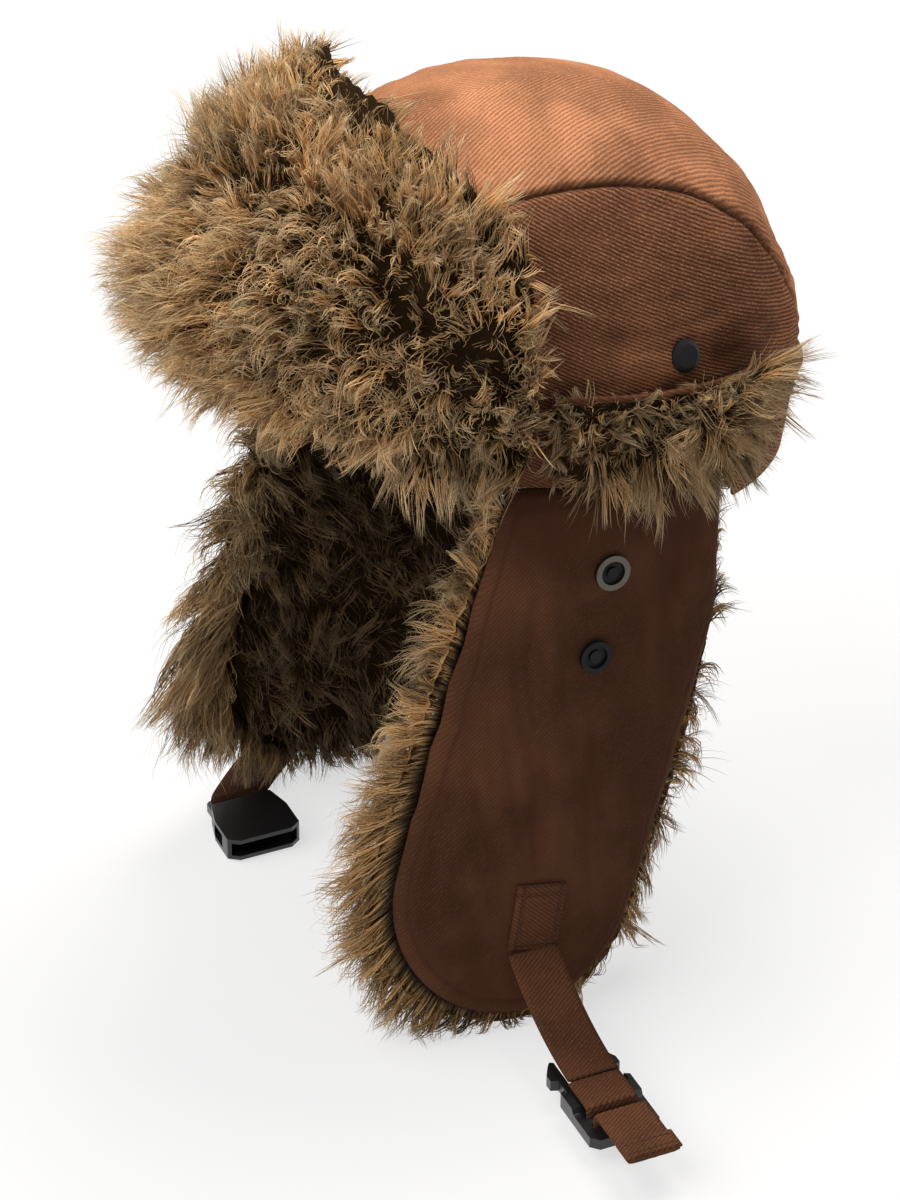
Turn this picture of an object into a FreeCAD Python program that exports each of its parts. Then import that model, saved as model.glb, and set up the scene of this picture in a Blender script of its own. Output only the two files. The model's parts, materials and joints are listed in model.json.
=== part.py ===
import FreeCAD, Part
import functools
import math
import os
import Sketcher
from FreeCAD import Placement, Rotation, Vector

# Trapper hat with fur lining, in millimetres. +Z is up, -Y is the front of the hat and +X is the
# wearer's left. The origin is the middle of the head opening. The crown, visor, ear covers and their
# fastenings are built level and then tipped back about X, because the rim is worn higher in front.

doc = FreeCAD.newDocument("trapper_hat")

SIZES = [
    # crown: an ellipsoid of three sewn panels over wadding and lining
    ("crown_half_width", 94.5),
    ("crown_half_depth", 111.5),
    ("crown_rise", 115.5),
    ("rim_tilt", 9.0),
    ("twill", 1.6),
    ("wadding", 3.0),
    ("lining", 1.2),
    ("panel_half_width", 51.0),
    ("panel_taper", 15.0),
    ("band_rise", 20.0),
    ("band_proud", 0.8),
    ("sweatband_rise", 28.0),
    ("sweatband", 1.2),
    # pieces turned up against the crown: the visor and two ear covers
    ("turnup_gap", 0.6),
    ("turnup_rise", 165.0),
    ("visor_shell", 2.4),
    ("visor_lift", 2.5),
    ("visor_end", 34.0),
    ("visor_end_slant", 9.0),
    ("visor_end_rise", 64.0),
    ("visor_mid_rise", 90.0),
    ("visor_pile_side", 15.5),
    ("visor_pile_front", 35.0),
    ("visor_pile_end", 2.0),
    ("visor_pile_over", 16.0),
    ("cover_shell", 2.2),
    ("cover_lift", 4.6),
    ("cover_rise", 36.0),
    ("cover_front", 28.0),
    ("cover_back", 58.0),
    ("cover_pile", 14.0),
    ("cover_pile_over", 12.0),
    # neck flap, hanging at the nape
    ("neck_front", 61.0),
    ("neck_drop", 18.0),
    ("neck_pile", 8.0),
    # earflaps, hanging from the crown's sides
    ("fold_gap", 0.3),
    ("fold_bow_radius", 500.0),
    ("flap_top_radius", 130.0),
    ("flap_low_radius", 240.0),
    ("flap_proud", 1.5),
    ("flap_length", 205.0),
    ("flap_lean", 48.0),
    ("flap_front_top", 37.0),
    ("flap_front_low", 87.0),
    ("flap_front_low_drop", 140.0),
    ("flap_back_top", 50.0),
    ("flap_back_wide", 46.0),
    ("flap_back_wide_drop", 66.0),
    ("flap_back_low", 6.0),
    ("flap_back_low_drop", 156.0),
    ("flap_pile", 18.0),
    ("pile_drop", 6.0),
    ("fringe_front", 18.0),
    ("fringe_low", 6.0),
    ("fringe_back", 5.0),
    ("wadding_inset", 5.0),
    ("flare_left", 7.0),
    ("flare_right", -6.0),
    # snap fasteners
    ("crown_snap_back", 26.0),
    ("crown_snap_above_band", 24.7),
    ("ring_snap_drop", 33.0),
    ("ring_snap_forward", 2.0),
    ("dish_snap_drop", 65.0),
    ("dish_snap_forward", 10.0),
    ("snap_radius", 6.2),
    ("snap_rise", 2.2),
    ("snap_post", 2.0),
    ("snap_post_play", 0.15),
    ("snap_seat_gap", 0.12),
    ("ring_radius", 6.8),
    ("ring_bore", 4.6),
    # chin strap, sewn to each earflap
    ("webbing_width", 20.0),
    ("webbing", 1.6),
    ("patch_height", 26.0),
    ("patch_thick", 1.4),
    ("patch_back", 38.0),
    ("patch_drop", 166.0),
    ("patch_tilt", 12.0),
    ("strap_run", 57.0),
    ("strap_start_angle", 38.0),
    ("strap_end_angle", 4.0),
    ("tail_length", 28.0),
    # side-release buckle
    ("buckle_width", 28.0),
    ("buckle_corner", 3.0),
    ("plug_body", 12.0),
    ("plug_frame", 17.0),
    ("plug_thick", 6.4),
    ("frame_thick", 4.4),
    ("ladder_slot", 3.0),
    ("ladder_bar", 3.0),
    ("prong_reach", 17.0),
    ("prong_width", 2.8),
    ("prong_thick", 4.6),
    ("prong_root", 2.3),
    ("prong_play", 0.1),
    ("prong_swing_play", 0.5),
    ("hinge_gap", 0.3),
    ("tongue_reach", 11.0),
    ("tongue_width", 5.0),
    ("socket_length", 27.0),
    ("socket_thick", 9.4),
    ("socket_wall", 1.8),
    ("socket_bar", 1.8),
    ("loop_play", 0.35),
]

sheet = doc.addObject("Spreadsheet::Sheet", "sizes")
for row, (alias, value) in enumerate(SIZES, start=1):
    sheet.set(f"A{row}", alias)
    sheet.set(f"B{row}", str(value))
    sheet.setAlias(f"B{row}", alias)
doc.recompute()

parts = []

# the soft solids are built in flat facets: how many go round and up a dome, how far up its rings go
# before a flat cap in degrees, and how many go across a flap's layer and the degrees they span
FACETS_ROUND = 32
FACETS_UP = 7
DOME_CAP = 84
FLAP_FACETS = 15
FLAP_SPAN = 100
# distance within which four corners count as lying in one plane
FLAT = 1e-6


def size(name):
    return float(sheet.get(name))


# ---------------------------------------------------------------- building blocks


def keep(obj, label):
    """Label a finished sub-part and list it for export."""
    obj.Label = label
    parts.append(obj)
    return obj


def soft_part(label, shape, placement=Placement()):
    """A sewn or furry piece, whose free-form solid is set directly."""
    obj = doc.addObject("Part::Feature", label)
    obj.Shape = shape.removeSplitter()
    obj.Placement = placement
    return keep(obj, label)


def dome(name, inset):
    """The crown's own dome, moved in by an inset that is given as an expression."""
    obj = doc.addObject("Part::Feature", name)
    obj.Shape = facet_dome(size("crown_rise"), -number(inset))
    return obj


def boolean(kind, name, base, tool):
    obj = doc.addObject(f"Part::{kind}", name)
    obj.Base = base
    obj.Tool = tool
    return obj


def slab(name, low, high):
    """A block wider than the hat between two heights, given as expressions."""
    obj = doc.addObject("Part::Box", name)
    obj.setExpression("Length", "4 * sizes.crown_half_width")
    obj.setExpression("Width", "4 * sizes.crown_half_depth")
    obj.setExpression("Height", f"({high}) - ({low})")
    obj.setExpression("Placement.Base.x", "-2 * sizes.crown_half_width")
    obj.setExpression("Placement.Base.y", "-2 * sizes.crown_half_depth")
    obj.setExpression("Placement.Base.z", low)
    return obj


def body_plane(body, role):
    return next(f for f in body.Origin.OriginFeatures if f.Role == role)


def sketch_in(body, role, name, offset=None):
    """A sketch on one of the body's own origin planes, moved along its normal by an expression."""
    sketch = body.newObject("Sketcher::SketchObject", name)
    sketch.AttachmentSupport = [(body_plane(body, role), "")]
    sketch.MapMode = "FlatFace"
    if offset:
        sketch.setExpression("AttachmentOffset.Base.z", offset)
    return sketch


def polygon(sketch, corners):
    """A closed outline whose corners are pairs of expressions, each held from the sketch's origin."""
    first = sketch.GeometryCount
    count = len(corners)
    points = []
    for across, up in corners:
        points.append(Vector(number(across), number(up), 0))
    for i in range(count):
        sketch.addGeometry(Part.LineSegment(points[i], points[(i + 1) % count]), False)
    for i in range(count):
        line = first + i
        after = first + (i + 1) % count
        sketch.addConstraint(Sketcher.Constraint("Coincident", line, 2, after, 1))
    for i, (across, up) in enumerate(corners):
        hold(sketch, "DistanceX", first + i, across)
        hold(sketch, "DistanceY", first + i, up)


def hold(sketch, kind, line, expression):
    place = number(expression)
    index = sketch.addConstraint(Sketcher.Constraint(kind, -1, 1, line, 1, place))
    sketch.setExpression(f"Constraints[{index}]", expression)


def number(expression):
    """Value of an expression on the sheet, read through a scratch cell."""
    sheet.set("D1", "=" + expression.replace("sizes.", ""))
    sheet.recompute()
    return float(sheet.get("D1"))


def pad(body, sketch, name, length, symmetric=False):
    feature = body.newObject("PartDesign::Pad", name)
    feature.Profile = sketch
    feature.setExpression("Length", length)
    if symmetric:
        feature.SideType = "Symmetric"
    return feature


def pocket(body, sketch, name, length):
    """A cut on both sides of its sketch plane, so it never points away from the solid."""
    before = body.Shape.Volume
    feature = body.newObject("PartDesign::Pocket", name)
    feature.Profile = sketch
    feature.SideType = "Symmetric"
    feature.setExpression("Length", length)
    doc.recompute()
    if body.Shape.Volume >= before:
        raise RuntimeError(f"{name} cuts nothing")
    return feature


def rim_place():
    """Tips what is built level with the head opening back into place."""
    return Placement(Vector(), Rotation(Vector(1, 0, 0), -size("rim_tilt")))


def mirrored(shape):
    return shape.mirror(Vector(0, 0, 0), Vector(1, 0, 0))


def polyline_face(points):
    """Flat face from corner points in order."""
    return Part.Face(Part.makePolygon(points + points[:1]))


def tangent_arc(start, direction, end):
    """Arc that leaves start along direction and ends at end, with the direction it arrives in."""
    chord = end.sub(start)
    unit = Vector(direction).normalize()
    along = unit * chord.dot(unit)
    side = chord.sub(along)
    radius = chord.dot(chord) / (2 * side.Length)
    centre = start + side.normalize() * radius
    middle = (start + end) * 0.5 - centre
    arc = Part.Arc(start, centre + middle.normalize() * radius, end)
    arrive = unit * -1 + chord * (2 * chord.dot(unit) / chord.dot(chord))
    return arc.toShape(), arrive


def facet_stack(rings):
    """Solid from the first to the last of some flat rings of points, in flat facets."""
    faces = [polyline_face(rings[0]), polyline_face(rings[-1])]
    for low, high in zip(rings, rings[1:]):
        for i in range(-1, len(low) - 1):
            a, b, c, d = low[i], low[i + 1], high[i + 1], high[i]
            normal = b.sub(a).cross(d.sub(a)).normalize()
            if abs(normal.dot(c.sub(a))) < FLAT:
                faces.append(polyline_face([a, b, c, d]))
            else:
                faces.append(polyline_face([a, b, c]))
                faces.append(polyline_face([a, c, d]))
    return Part.Solid(Part.Shell(faces))


def oval(half_x, half_y, height):
    """Ring of points round an upright axis."""
    points = []
    for i in range(FACETS_ROUND):
        angle = 2 * math.pi * (i + 0.5) / FACETS_ROUND
        points.append(Vector(half_x * math.cos(angle), half_y * math.sin(angle), height))
    return points


def facet_dome(rise, outset):
    """Half an ellipsoid over the hat's rim, in level rings, grown or shrunk all over by an outset."""
    rings = []
    for level in range(FACETS_UP + 1):
        angle = math.radians(DOME_CAP) * level / FACETS_UP
        half_x = (size("crown_half_width") + outset) * math.cos(angle)
        half_y = (size("crown_half_depth") + outset) * math.cos(angle)
        rings.append(oval(half_x, half_y, (rise + outset) * math.sin(angle)))
    return facet_stack(rings)


# ---------------------------------------------------------------- crown


def crown():
    """Twill panels, wadding, lining, outer band and sweatband, each a layer between two domes."""
    under_twill = "sizes.twill"
    under_wadding = "sizes.twill + sizes.wadding"
    under_lining = "sizes.twill + sizes.wadding + sizes.lining"
    under_sweatband = under_lining + " + sizes.sweatband"

    shell = boolean("Cut", "twill_dome", dome("outer_dome", "0"), dome("twill_inside", under_twill))
    above_band = slab("above_band", "sizes.band_rise", "2 * sizes.crown_rise")
    panels = boolean("Common", "panel_shell", shell, above_band)

    # two large cylinders overlap in the long lens of the front-to-back panel
    radius = "(sizes.panel_taper^2 + sizes.crown_half_depth^2) / (2 * sizes.panel_taper)"
    sides = {}
    for side, sign in (("left", "-1"), ("right", "1")):
        cylinder = doc.addObject("Part::Cylinder", f"{side}_seam_cylinder")
        cylinder.setExpression("Radius", radius)
        cylinder.setExpression("Height", "2 * sizes.crown_rise")
        cylinder.setExpression(
            "Placement.Base.x", f"{sign} * ({radius} - sizes.panel_half_width)"
        )
        sides[side] = cylinder
    lens = boolean("Common", "seam_lens", sides["left"], sides["right"])
    crown_part("crown_top_panel", "Common", panels, lens)
    for side, cylinder in sides.items():
        panel = boolean("Cut", f"{side}_panel_blank", panels, cylinder)
        crown_part(f"crown_side_panel_{side}", "Cut", panel, crown_snap_hole(side))

    wadding = boolean(
        "Cut", "wadding_blank", dome("wadding_outside", under_twill), dome("wadding_inside", under_wadding)
    )
    left_hole = boolean("Cut", "wadding_left_hole", wadding, doc.left_snap_hole)
    crown_part("crown_wadding", "Cut", left_hole, doc.right_snap_hole)
    lining_outside = dome("lining_outside", under_wadding)
    crown_part("crown_lining", "Cut", lining_outside, dome("lining_inside", under_lining))
    band_outside = dome("band_outside", "-sizes.band_proud")
    band = boolean("Cut", "band_blank", band_outside, dome("band_inside", under_twill))
    crown_part("crown_band", "Common", band, slab("band_slab", "0", "sizes.band_rise"))
    sweat_outside = dome("sweat_outside", under_lining)
    sweat = boolean("Cut", "sweat_blank", sweat_outside, dome("sweat_inside", under_sweatband))
    crown_part("sweatband", "Common", sweat, slab("sweat_slab", "0", "sizes.sweatband_rise"))


def crown_part(label, kind, base, tool):
    """Last step of one of the crown's pieces, which tips it back with the rim."""
    piece = boolean(kind, label, base, tool)
    piece.Placement = rim_place()
    keep(piece, label)


def crown_snap_place(side):
    """Seat of a crown snap: a point on the panel above the ear and the direction it faces."""
    back = size("crown_snap_back")
    rise = size("band_rise") + size("crown_snap_above_band")
    a = size("crown_half_width")
    b = size("crown_half_depth")
    c = size("crown_rise")
    x = a * math.sqrt(1 - (back / b) ** 2 - (rise / c) ** 2)
    outward = Vector(x / a**2, back / b**2, rise / c**2).normalize()
    point = Vector(x, back, rise)
    if side == "right":
        point.x = -point.x
        outward.x = -outward.x
    return Placement(point, Rotation(Vector(0, 0, 1), outward))


def crown_snap_hole(side):
    hole = doc.addObject("Part::Cylinder", f"{side}_snap_hole")
    hole.setExpression("Radius", "sizes.snap_post + sizes.snap_post_play")
    hole.setExpression("Height", "2 * (sizes.twill + sizes.wadding)")
    place = crown_snap_place(side)
    depth = Vector(0, 0, -(size("twill") + size("wadding")))
    hole.Placement = place.multiply(Placement(depth, Rotation()))
    return hole


# ---------------------------------------------------------------- snap fasteners


def snap(label, place, profile):
    """A snap turned about its own Z axis, which is then set to face out of the cloth."""
    body = doc.addObject("PartDesign::Body", label)
    sketch = sketch_in(body, "XZ_Plane", f"{label}_profile")
    polygon(sketch, profile)
    turn = body.newObject("PartDesign::Revolution", f"{label}_turn")
    turn.Profile = sketch
    turn.ReferenceAxis = (sketch, ["V_Axis"])
    turn.Angle = 360
    body.Placement = place
    return keep(body, label)


def cap_profile(post_length):
    """Domed cap with the post that holds it through the cloth."""
    seat = "sizes.snap_seat_gap"
    return [
        ("0 * sizes.snap_post", f"-({post_length})"),
        ("sizes.snap_post", f"-({post_length})"),
        ("sizes.snap_post", seat),
        ("sizes.snap_radius", seat),
        ("sizes.snap_radius", "0.45 * sizes.snap_rise"),
        ("0.7 * sizes.snap_radius", "sizes.snap_rise"),
        ("0 * sizes.snap_post", "sizes.snap_rise"),
    ]


def dish_profile(post_length):
    """Socket half: a rim round a sunk middle with a raised boss."""
    seat = "sizes.snap_seat_gap"
    return [
        ("0 * sizes.snap_post", f"-({post_length})"),
        ("sizes.snap_post", f"-({post_length})"),
        ("sizes.snap_post", seat),
        ("sizes.snap_radius", seat),
        ("sizes.snap_radius", "sizes.snap_rise"),
        ("0.7 * sizes.snap_radius", "sizes.snap_rise"),
        ("0.7 * sizes.snap_radius", "0.4 * sizes.snap_rise"),
        ("0.4 * sizes.snap_radius", "0.4 * sizes.snap_rise"),
        ("0.4 * sizes.snap_radius", "0.75 * sizes.snap_rise"),
        ("0 * sizes.snap_post", "0.75 * sizes.snap_rise"),
    ]


def stud_profile(post_length):
    """Stud that fills the middle of the metal ring."""
    seat = "sizes.snap_seat_gap"
    return [
        ("0 * sizes.snap_post", f"-({post_length})"),
        ("sizes.snap_post", f"-({post_length})"),
        ("sizes.snap_post", seat),
        ("sizes.ring_bore - 0.5 * sizes.snap_seat_gap", seat),
        ("sizes.ring_bore - 0.5 * sizes.snap_seat_gap", "0.35 * sizes.snap_rise"),
        ("0.45 * sizes.ring_bore", "0.35 * sizes.snap_rise"),
        ("0.45 * sizes.ring_bore", "0.8 * sizes.snap_rise"),
        ("0 * sizes.snap_post", "0.8 * sizes.snap_rise"),
    ]


def ring_profile():
    """Pressed metal ring round the stud, lying on the cloth."""
    seat = "sizes.snap_seat_gap"
    return [
        ("sizes.ring_bore", seat),
        ("sizes.ring_radius", seat),
        ("sizes.ring_radius", "0.9 * sizes.snap_rise"),
        ("sizes.ring_bore", "0.9 * sizes.snap_rise"),
    ]


# ---------------------------------------------------------------- turned-up pieces


def upright_dome(outset):
    """Taller dome just outside the band, which the turned-up pieces follow as they lean in."""
    return facet_dome(size("turnup_rise"), outset + size("band_proud") + size("turnup_gap"))


def pile(outset, wide, deep, low, high, sections):
    """Fur that swells out from the upright dome: each section gives its share of the height between
    low and high, and its shares of the pile at the sides and at the front and back."""
    outset = outset + size("band_proud") + size("turnup_gap")
    a = size("crown_half_width") + outset
    b = size("crown_half_depth") + outset
    rings = []
    for height, side_share, end_share in sections:
        level = low + height * (high - low)
        rings.append(oval(a + wide * side_share, b + deep * end_share, level))
    return facet_stack(rings)


def side_prism(edges):
    """Space as wide as the hat whose side view is the given outline in the YZ plane."""
    face = Part.Face(Part.Wire(edges))
    width = 4 * size("crown_half_width")
    face.translate(Vector(-width / 2, 0, 0))
    return face.extrude(Vector(width, 0, 0))


def visor_outline(end, end_rise, mid_rise):
    """Side view of the visor, with its slanted ends and its curved upper edge."""
    front = -2 * size("crown_half_depth")
    low = size("visor_lift")
    low_end = Vector(0, -end, low)
    top_end = Vector(0, -end - size("visor_end_slant"), end_rise)
    middle = Vector(0, -0.8 * size("crown_half_depth"), mid_rise)
    low_front = Vector(0, front, low)
    top_front = Vector(0, front, mid_rise)
    return side_prism(
        [
            Part.makeLine(low_front, low_end),
            Part.makeLine(low_end, top_end),
            Part.Arc(top_end, middle, top_front).toShape(),
            Part.makeLine(top_front, low_front),
        ]
    )


def visor():
    """Turned-up visor: a stiffened twill shell, and the fur bulging in front of and over it."""
    end = size("visor_end")
    end_rise = size("visor_end_rise")
    mid_rise = size("visor_mid_rise")
    over = size("visor_pile_over")
    shell = upright_dome(size("visor_shell")).cut(upright_dome(0))
    shell = shell.common(visor_outline(end, end_rise, mid_rise))
    soft_part("visor_shell", shell, rim_place())

    # a low roll of fur that draws in towards the top
    sections = (
        (0.0, 0.0, 0.02),
        (0.12, 0.53, 0.56),
        (0.24, 0.92, 0.96),
        (0.36, 0.98, 0.96),
        (0.49, 0.72, 0.82),
        (0.62, 0.34, 0.7),
        (0.76, -0.37, 0.53),
        (0.88, -1.6, 0.28),
        (1.0, -3.3, -0.1),
    )
    fur = pile(
        size("visor_shell"),
        size("visor_pile_side"),
        size("visor_pile_front"),
        size("visor_lift"),
        mid_rise + over,
        sections,
    )
    trim = visor_outline(end + size("visor_pile_end"), end_rise + over, mid_rise + over)
    soft_part("visor_fur", fur.common(trim).cut(upright_dome(0)).cut(shell), rim_place())


def visor_hinge():
    """Point on the visor's fold line, outside its lower edge."""
    outset = size("band_proud") + size("turnup_gap") + size("visor_shell") + size("hinge_gap")
    front = size("crown_half_depth") + outset
    return rim_place().multVec(Vector(0, -front, size("visor_lift") - size("hinge_gap")))


def left_slab(front, back, low, high):
    """Level slab on the left side, between two distances behind the middle and two heights."""
    width = 2 * size("crown_half_width")
    return Part.makeBox(width, back - front, high - low, Vector(0, front, low))


def ear_covers():
    """Turned-up cover over each ear: twill against the crown, fur outside."""
    low = size("cover_lift")
    rise = size("cover_rise")
    top = rise + size("cover_pile_over")
    thick = size("cover_shell")
    depth = size("cover_pile")
    shell = upright_dome(thick).cut(upright_dome(0))
    sections = (
        (0.0, 0.05, 0.05),
        (0.3, 0.55, 0.55),
        (0.55, 0.95, 0.95),
        (0.75, 1.0, 1.0),
        (0.92, 0.6, 0.6),
        (1.0, 0.0, 0.0),
    )
    fur = pile(thick, depth, depth, low, top, sections).cut(upright_dome(0))
    cloth = shell.common(left_slab(-size("cover_front"), size("cover_back"), low, rise))
    pelt = fur.common(left_slab(-size("cover_front"), size("cover_back"), low, top)).cut(cloth)
    for layer, solid in (("shell", cloth), ("fur", pelt)):
        soft_part(f"ear_cover_{layer}_left", solid, rim_place())
        soft_part(f"ear_cover_{layer}_right", mirrored(solid), rim_place())


def ear_cover_hinge():
    """Point on the left ear cover's fold line, outside its lower edge."""
    outset = size("band_proud") + size("turnup_gap") + size("cover_shell") + size("hinge_gap")
    side = size("crown_half_width") + outset
    return rim_place().multVec(Vector(side, 0, size("cover_lift") - size("hinge_gap")))


def rim_wall(outset, thick, low, high):
    """Upright wall under the rim, between two heights, whose outer face stands at an outset."""
    solids = []
    for reach in (outset, outset - thick):
        half_x = size("crown_half_width") + reach
        half_y = size("crown_half_depth") + reach
        solids.append(facet_stack([oval(half_x, half_y, low), oval(half_x, half_y, high)]))
    return solids[0].cut(solids[1])


def neck_flap():
    """Short flap that hangs at the nape between the earflaps: twill outside, fur inside."""
    gap = size("fold_gap")
    drop = size("neck_drop")
    proud = size("band_proud")
    thick = size("cover_shell")
    width = 4 * size("crown_half_width")
    front = size("neck_front")
    behind = Part.makeBox(width, width, 2 * drop, Vector(-width / 2, front, -2 * drop))
    cloth = rim_wall(proud, thick, -drop, -gap).common(behind)
    pelt = rim_wall(proud - thick, size("neck_pile"), -drop, -gap).common(behind)
    soft_part("neck_flap_shell", cloth, rim_place())
    soft_part("neck_flap_fur", pelt, rim_place())


def neck_hinge():
    """Point on the neck flap's fold line, along the band's lower edge at the back."""
    back = size("crown_half_depth") + size("band_proud")
    return rim_place().multVec(Vector(0, back, -size("fold_gap") / 2))


# ---------------------------------------------------------------- earflaps


def below_rim(gap):
    """Space under the rim, whose top bows down a little towards the front and back of each flap."""
    radius = size("fold_bow_radius")
    width = 4 * size("crown_half_width")
    middle = (size("flap_back_top") - size("flap_front_top")) / 2
    start = Vector(-width / 2, middle, -gap - radius)
    space = Part.makeCylinder(radius, width, start, Vector(1, 0, 0))
    space.Placement = rim_place()
    return space


def rim_rise():
    """Height of the rim's front edge above the origin."""
    return size("crown_half_depth") * math.tan(math.radians(size("rim_tilt")))


def flap_apex():
    return size("crown_half_width") + size("flap_proud")


def flap_section(outset, inset, drop):
    """Section of the left flap's layer at one height, as points along two concentric arcs."""
    share = drop / size("flap_length")
    radius = size("flap_top_radius") + share * (size("flap_low_radius") - size("flap_top_radius"))
    centre = Vector(flap_apex() - radius, -share * size("flap_lean"), -drop)
    arcs = []
    for reach in (radius + outset, radius - inset):
        arc = []
        for i in range(FLAP_FACETS + 1):
            angle = math.radians(FLAP_SPAN) * (i / FLAP_FACETS - 0.5)
            arc.append(centre + Vector(reach * math.cos(angle), reach * math.sin(angle), 0))
        arcs.append(arc)
    return arcs[0] + arcs[1][::-1]


@functools.lru_cache
def flap_layer(inset, thick):
    """Curved layer that starts at an inset from the outer face and is as thick as stated."""
    drops = (-rim_rise(), size("flap_length") + 2 * size("fringe_low"))
    return facet_stack([flap_section(-inset, inset + thick, drop) for drop in drops])


def flap_prism(front, low, back):
    """Outline of the flap seen from the side, grown at its front, lower and back edges."""
    above = rim_rise()
    front_slope = (size("flap_front_low") - size("flap_front_top")) / size("flap_front_low_drop")
    back_slope = (size("flap_back_top") - size("flap_back_wide")) / size("flap_back_wide_drop")
    corners = [
        Vector(0, -size("flap_front_top") - front + above * front_slope, above),
        Vector(0, -size("flap_front_low") - front, -size("flap_front_low_drop")),
        Vector(0, -size("flap_lean"), -size("flap_length") - low),
        Vector(0, size("flap_back_low") + back, -size("flap_back_low_drop")),
        Vector(0, size("flap_back_wide") + back, -size("flap_back_wide_drop")),
        Vector(0, size("flap_back_top") + back + above * back_slope, above),
    ]
    front_round, direction = tangent_arc(corners[1], corners[1].sub(corners[0]), corners[2])
    back_round, direction = tangent_arc(corners[2], direction, corners[3])
    edges = [
        Part.makeLine(corners[0], corners[1]),
        front_round,
        back_round,
        Part.makeLine(corners[3], corners[4]),
        Part.makeLine(corners[4], corners[5]),
        Part.makeLine(corners[5], corners[0]),
    ]
    return Part.Face(Part.Wire(edges)).extrude(Vector(2 * size("crown_half_width"), 0, 0))


def flap_hinge():
    """Point on the fold line between the band and the left earflap, outside the flap's top edge."""
    return rim_place().multVec(Vector(flap_apex(), 0, -0.5 * size("fold_gap")))


def swing(side):
    """Swings an earflap out by its flare about the fold line, which follows the rim."""
    along_rim = rim_place().Rotation.multVec(Vector(0, -1, 0))
    return Placement(Vector(), Rotation(along_rim, size(f"flare_{side}")), flap_hinge())


def hang(shape, side):
    """Put a piece of the left flap in its hanging place, mirrored for the right side."""
    turned = shape.copy()
    turned.Placement = swing(side)
    return turned if side == "left" else mirrored(turned)


def hang_place(place, side):
    """The same for a turned piece, which is its own mirror image, so only its seat is mirrored."""
    swung = swing(side).multiply(place)
    if side == "left":
        return swung
    base = swung.Base
    facing = swung.Rotation.multVec(Vector(0, 0, 1))
    across = Rotation(Vector(0, 0, 1), Vector(-facing.x, facing.y, facing.z))
    return Placement(Vector(-base.x, base.y, base.z), across)


@functools.lru_cache
def flap_face(y, drop, outset=0.0):
    """Point on the outer face of the hanging left flap, found on its surface."""
    probe = Part.makeLine(Vector(0, y, -drop), Vector(2 * flap_apex(), y, -drop))
    inside = flap_layer(0, size("twill")).common(probe)
    return Vector(inside.BoundBox.XMax + outset, y, -drop)


def snap_seats():
    """Seats of the two snaps on the left flap's outer face."""
    return {
        "ring": flap_face(-size("ring_snap_forward"), size("ring_snap_drop")),
        "dish": flap_face(-size("dish_snap_forward"), size("dish_snap_drop")),
    }


def patch_prism():
    """Slanted rectangle where the chin strap is stitched to the flap."""
    half_width = size("webbing_width") / 2
    half_height = size("patch_height") / 2
    corners = [
        Vector(0, -half_width, -half_height),
        Vector(0, half_width, -half_height),
        Vector(0, half_width, half_height),
        Vector(0, -half_width, half_height),
    ]
    face = polyline_face(corners)
    face.rotate(Vector(0, 0, 0), Vector(1, 0, 0), -size("patch_tilt"))
    face.translate(Vector(0, -size("patch_back"), -size("patch_drop")))
    return face.extrude(Vector(2 * size("crown_half_width"), 0, 0))


def earflap(side):
    """Twill shell, wadding, fur lining, two snaps and the strap's stitched patch."""
    twill = size("twill")
    wadding = size("wadding")
    inset = size("wadding_inset")
    gap = size("fold_gap")
    shell = flap_layer(0, twill).common(flap_prism(0, 0, 0)).common(below_rim(gap))
    filling = flap_layer(twill, wadding).common(flap_prism(-inset, -inset, -inset))
    filling = filling.common(below_rim(gap + inset))
    fringe = flap_prism(size("fringe_front"), size("fringe_low"), size("fringe_back"))
    fur = flap_layer(twill + wadding, size("flap_pile")).common(fringe)
    fur = fur.common(below_rim(gap + size("pile_drop")))
    patch = flap_layer(-size("patch_thick"), size("patch_thick")).common(patch_prism())

    depth = 2 * (twill + wadding)
    for seat in snap_seats().values():
        bore = size("snap_post") + size("snap_post_play")
        start = seat - Vector(twill + wadding, 0, 0)
        hole = Part.makeCylinder(bore, depth, start, Vector(1, 0, 0))
        shell = shell.cut(hole)
        filling = filling.cut(hole)
    soft_part(f"earflap_shell_{side}", hang(shell, side))
    soft_part(f"earflap_wadding_{side}", hang(filling, side))
    soft_part(f"earflap_fur_{side}", hang(fur, side))
    soft_part(f"strap_patch_{side}", hang(patch, side))


def snaps(side):
    """Cap on the crown, and on the flap a stud in its metal ring and a dish below it."""
    post_length = "sizes.twill + sizes.wadding - sizes.snap_post_play"
    outward = Rotation(Vector(0, 0, 1), Vector(1, 0, 0))
    ring = hang_place(Placement(snap_seats()["ring"], outward), side)
    dish = hang_place(Placement(snap_seats()["dish"], outward), side)
    snap(f"snap_ring_{side}", ring, ring_profile())
    snap(f"snap_stud_{side}", ring, stud_profile(post_length))
    snap(f"snap_dish_{side}", dish, dish_profile(post_length))
    crown_seat = rim_place().multiply(crown_snap_place(side))
    snap(f"crown_snap_{side}", crown_seat, cap_profile(post_length))


# ---------------------------------------------------------------- chin strap


def strap_fold():
    """Fold line under the stitched patch of the hanging left flap."""
    tilt = math.radians(size("patch_tilt"))
    reach = size("patch_height") / 2 + 2 * size("hinge_gap")
    y = -size("patch_back") - reach * math.sin(tilt)
    drop = size("patch_drop") + reach * math.cos(tilt)
    return flap_face(y, drop, (size("patch_thick") + size("webbing")) / 2)


def strap_start(side):
    """Place of a strap's fold line once its flap has swung out."""
    point = swing(side).multVec(strap_fold())
    return point if side == "left" else Vector(-point.x, point.y, point.z)


def heading(angle):
    """Unit direction outwards and down by an angle from level, in the XZ plane."""
    return Vector(math.cos(math.radians(angle)), 0, -math.sin(math.radians(angle)))


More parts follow.
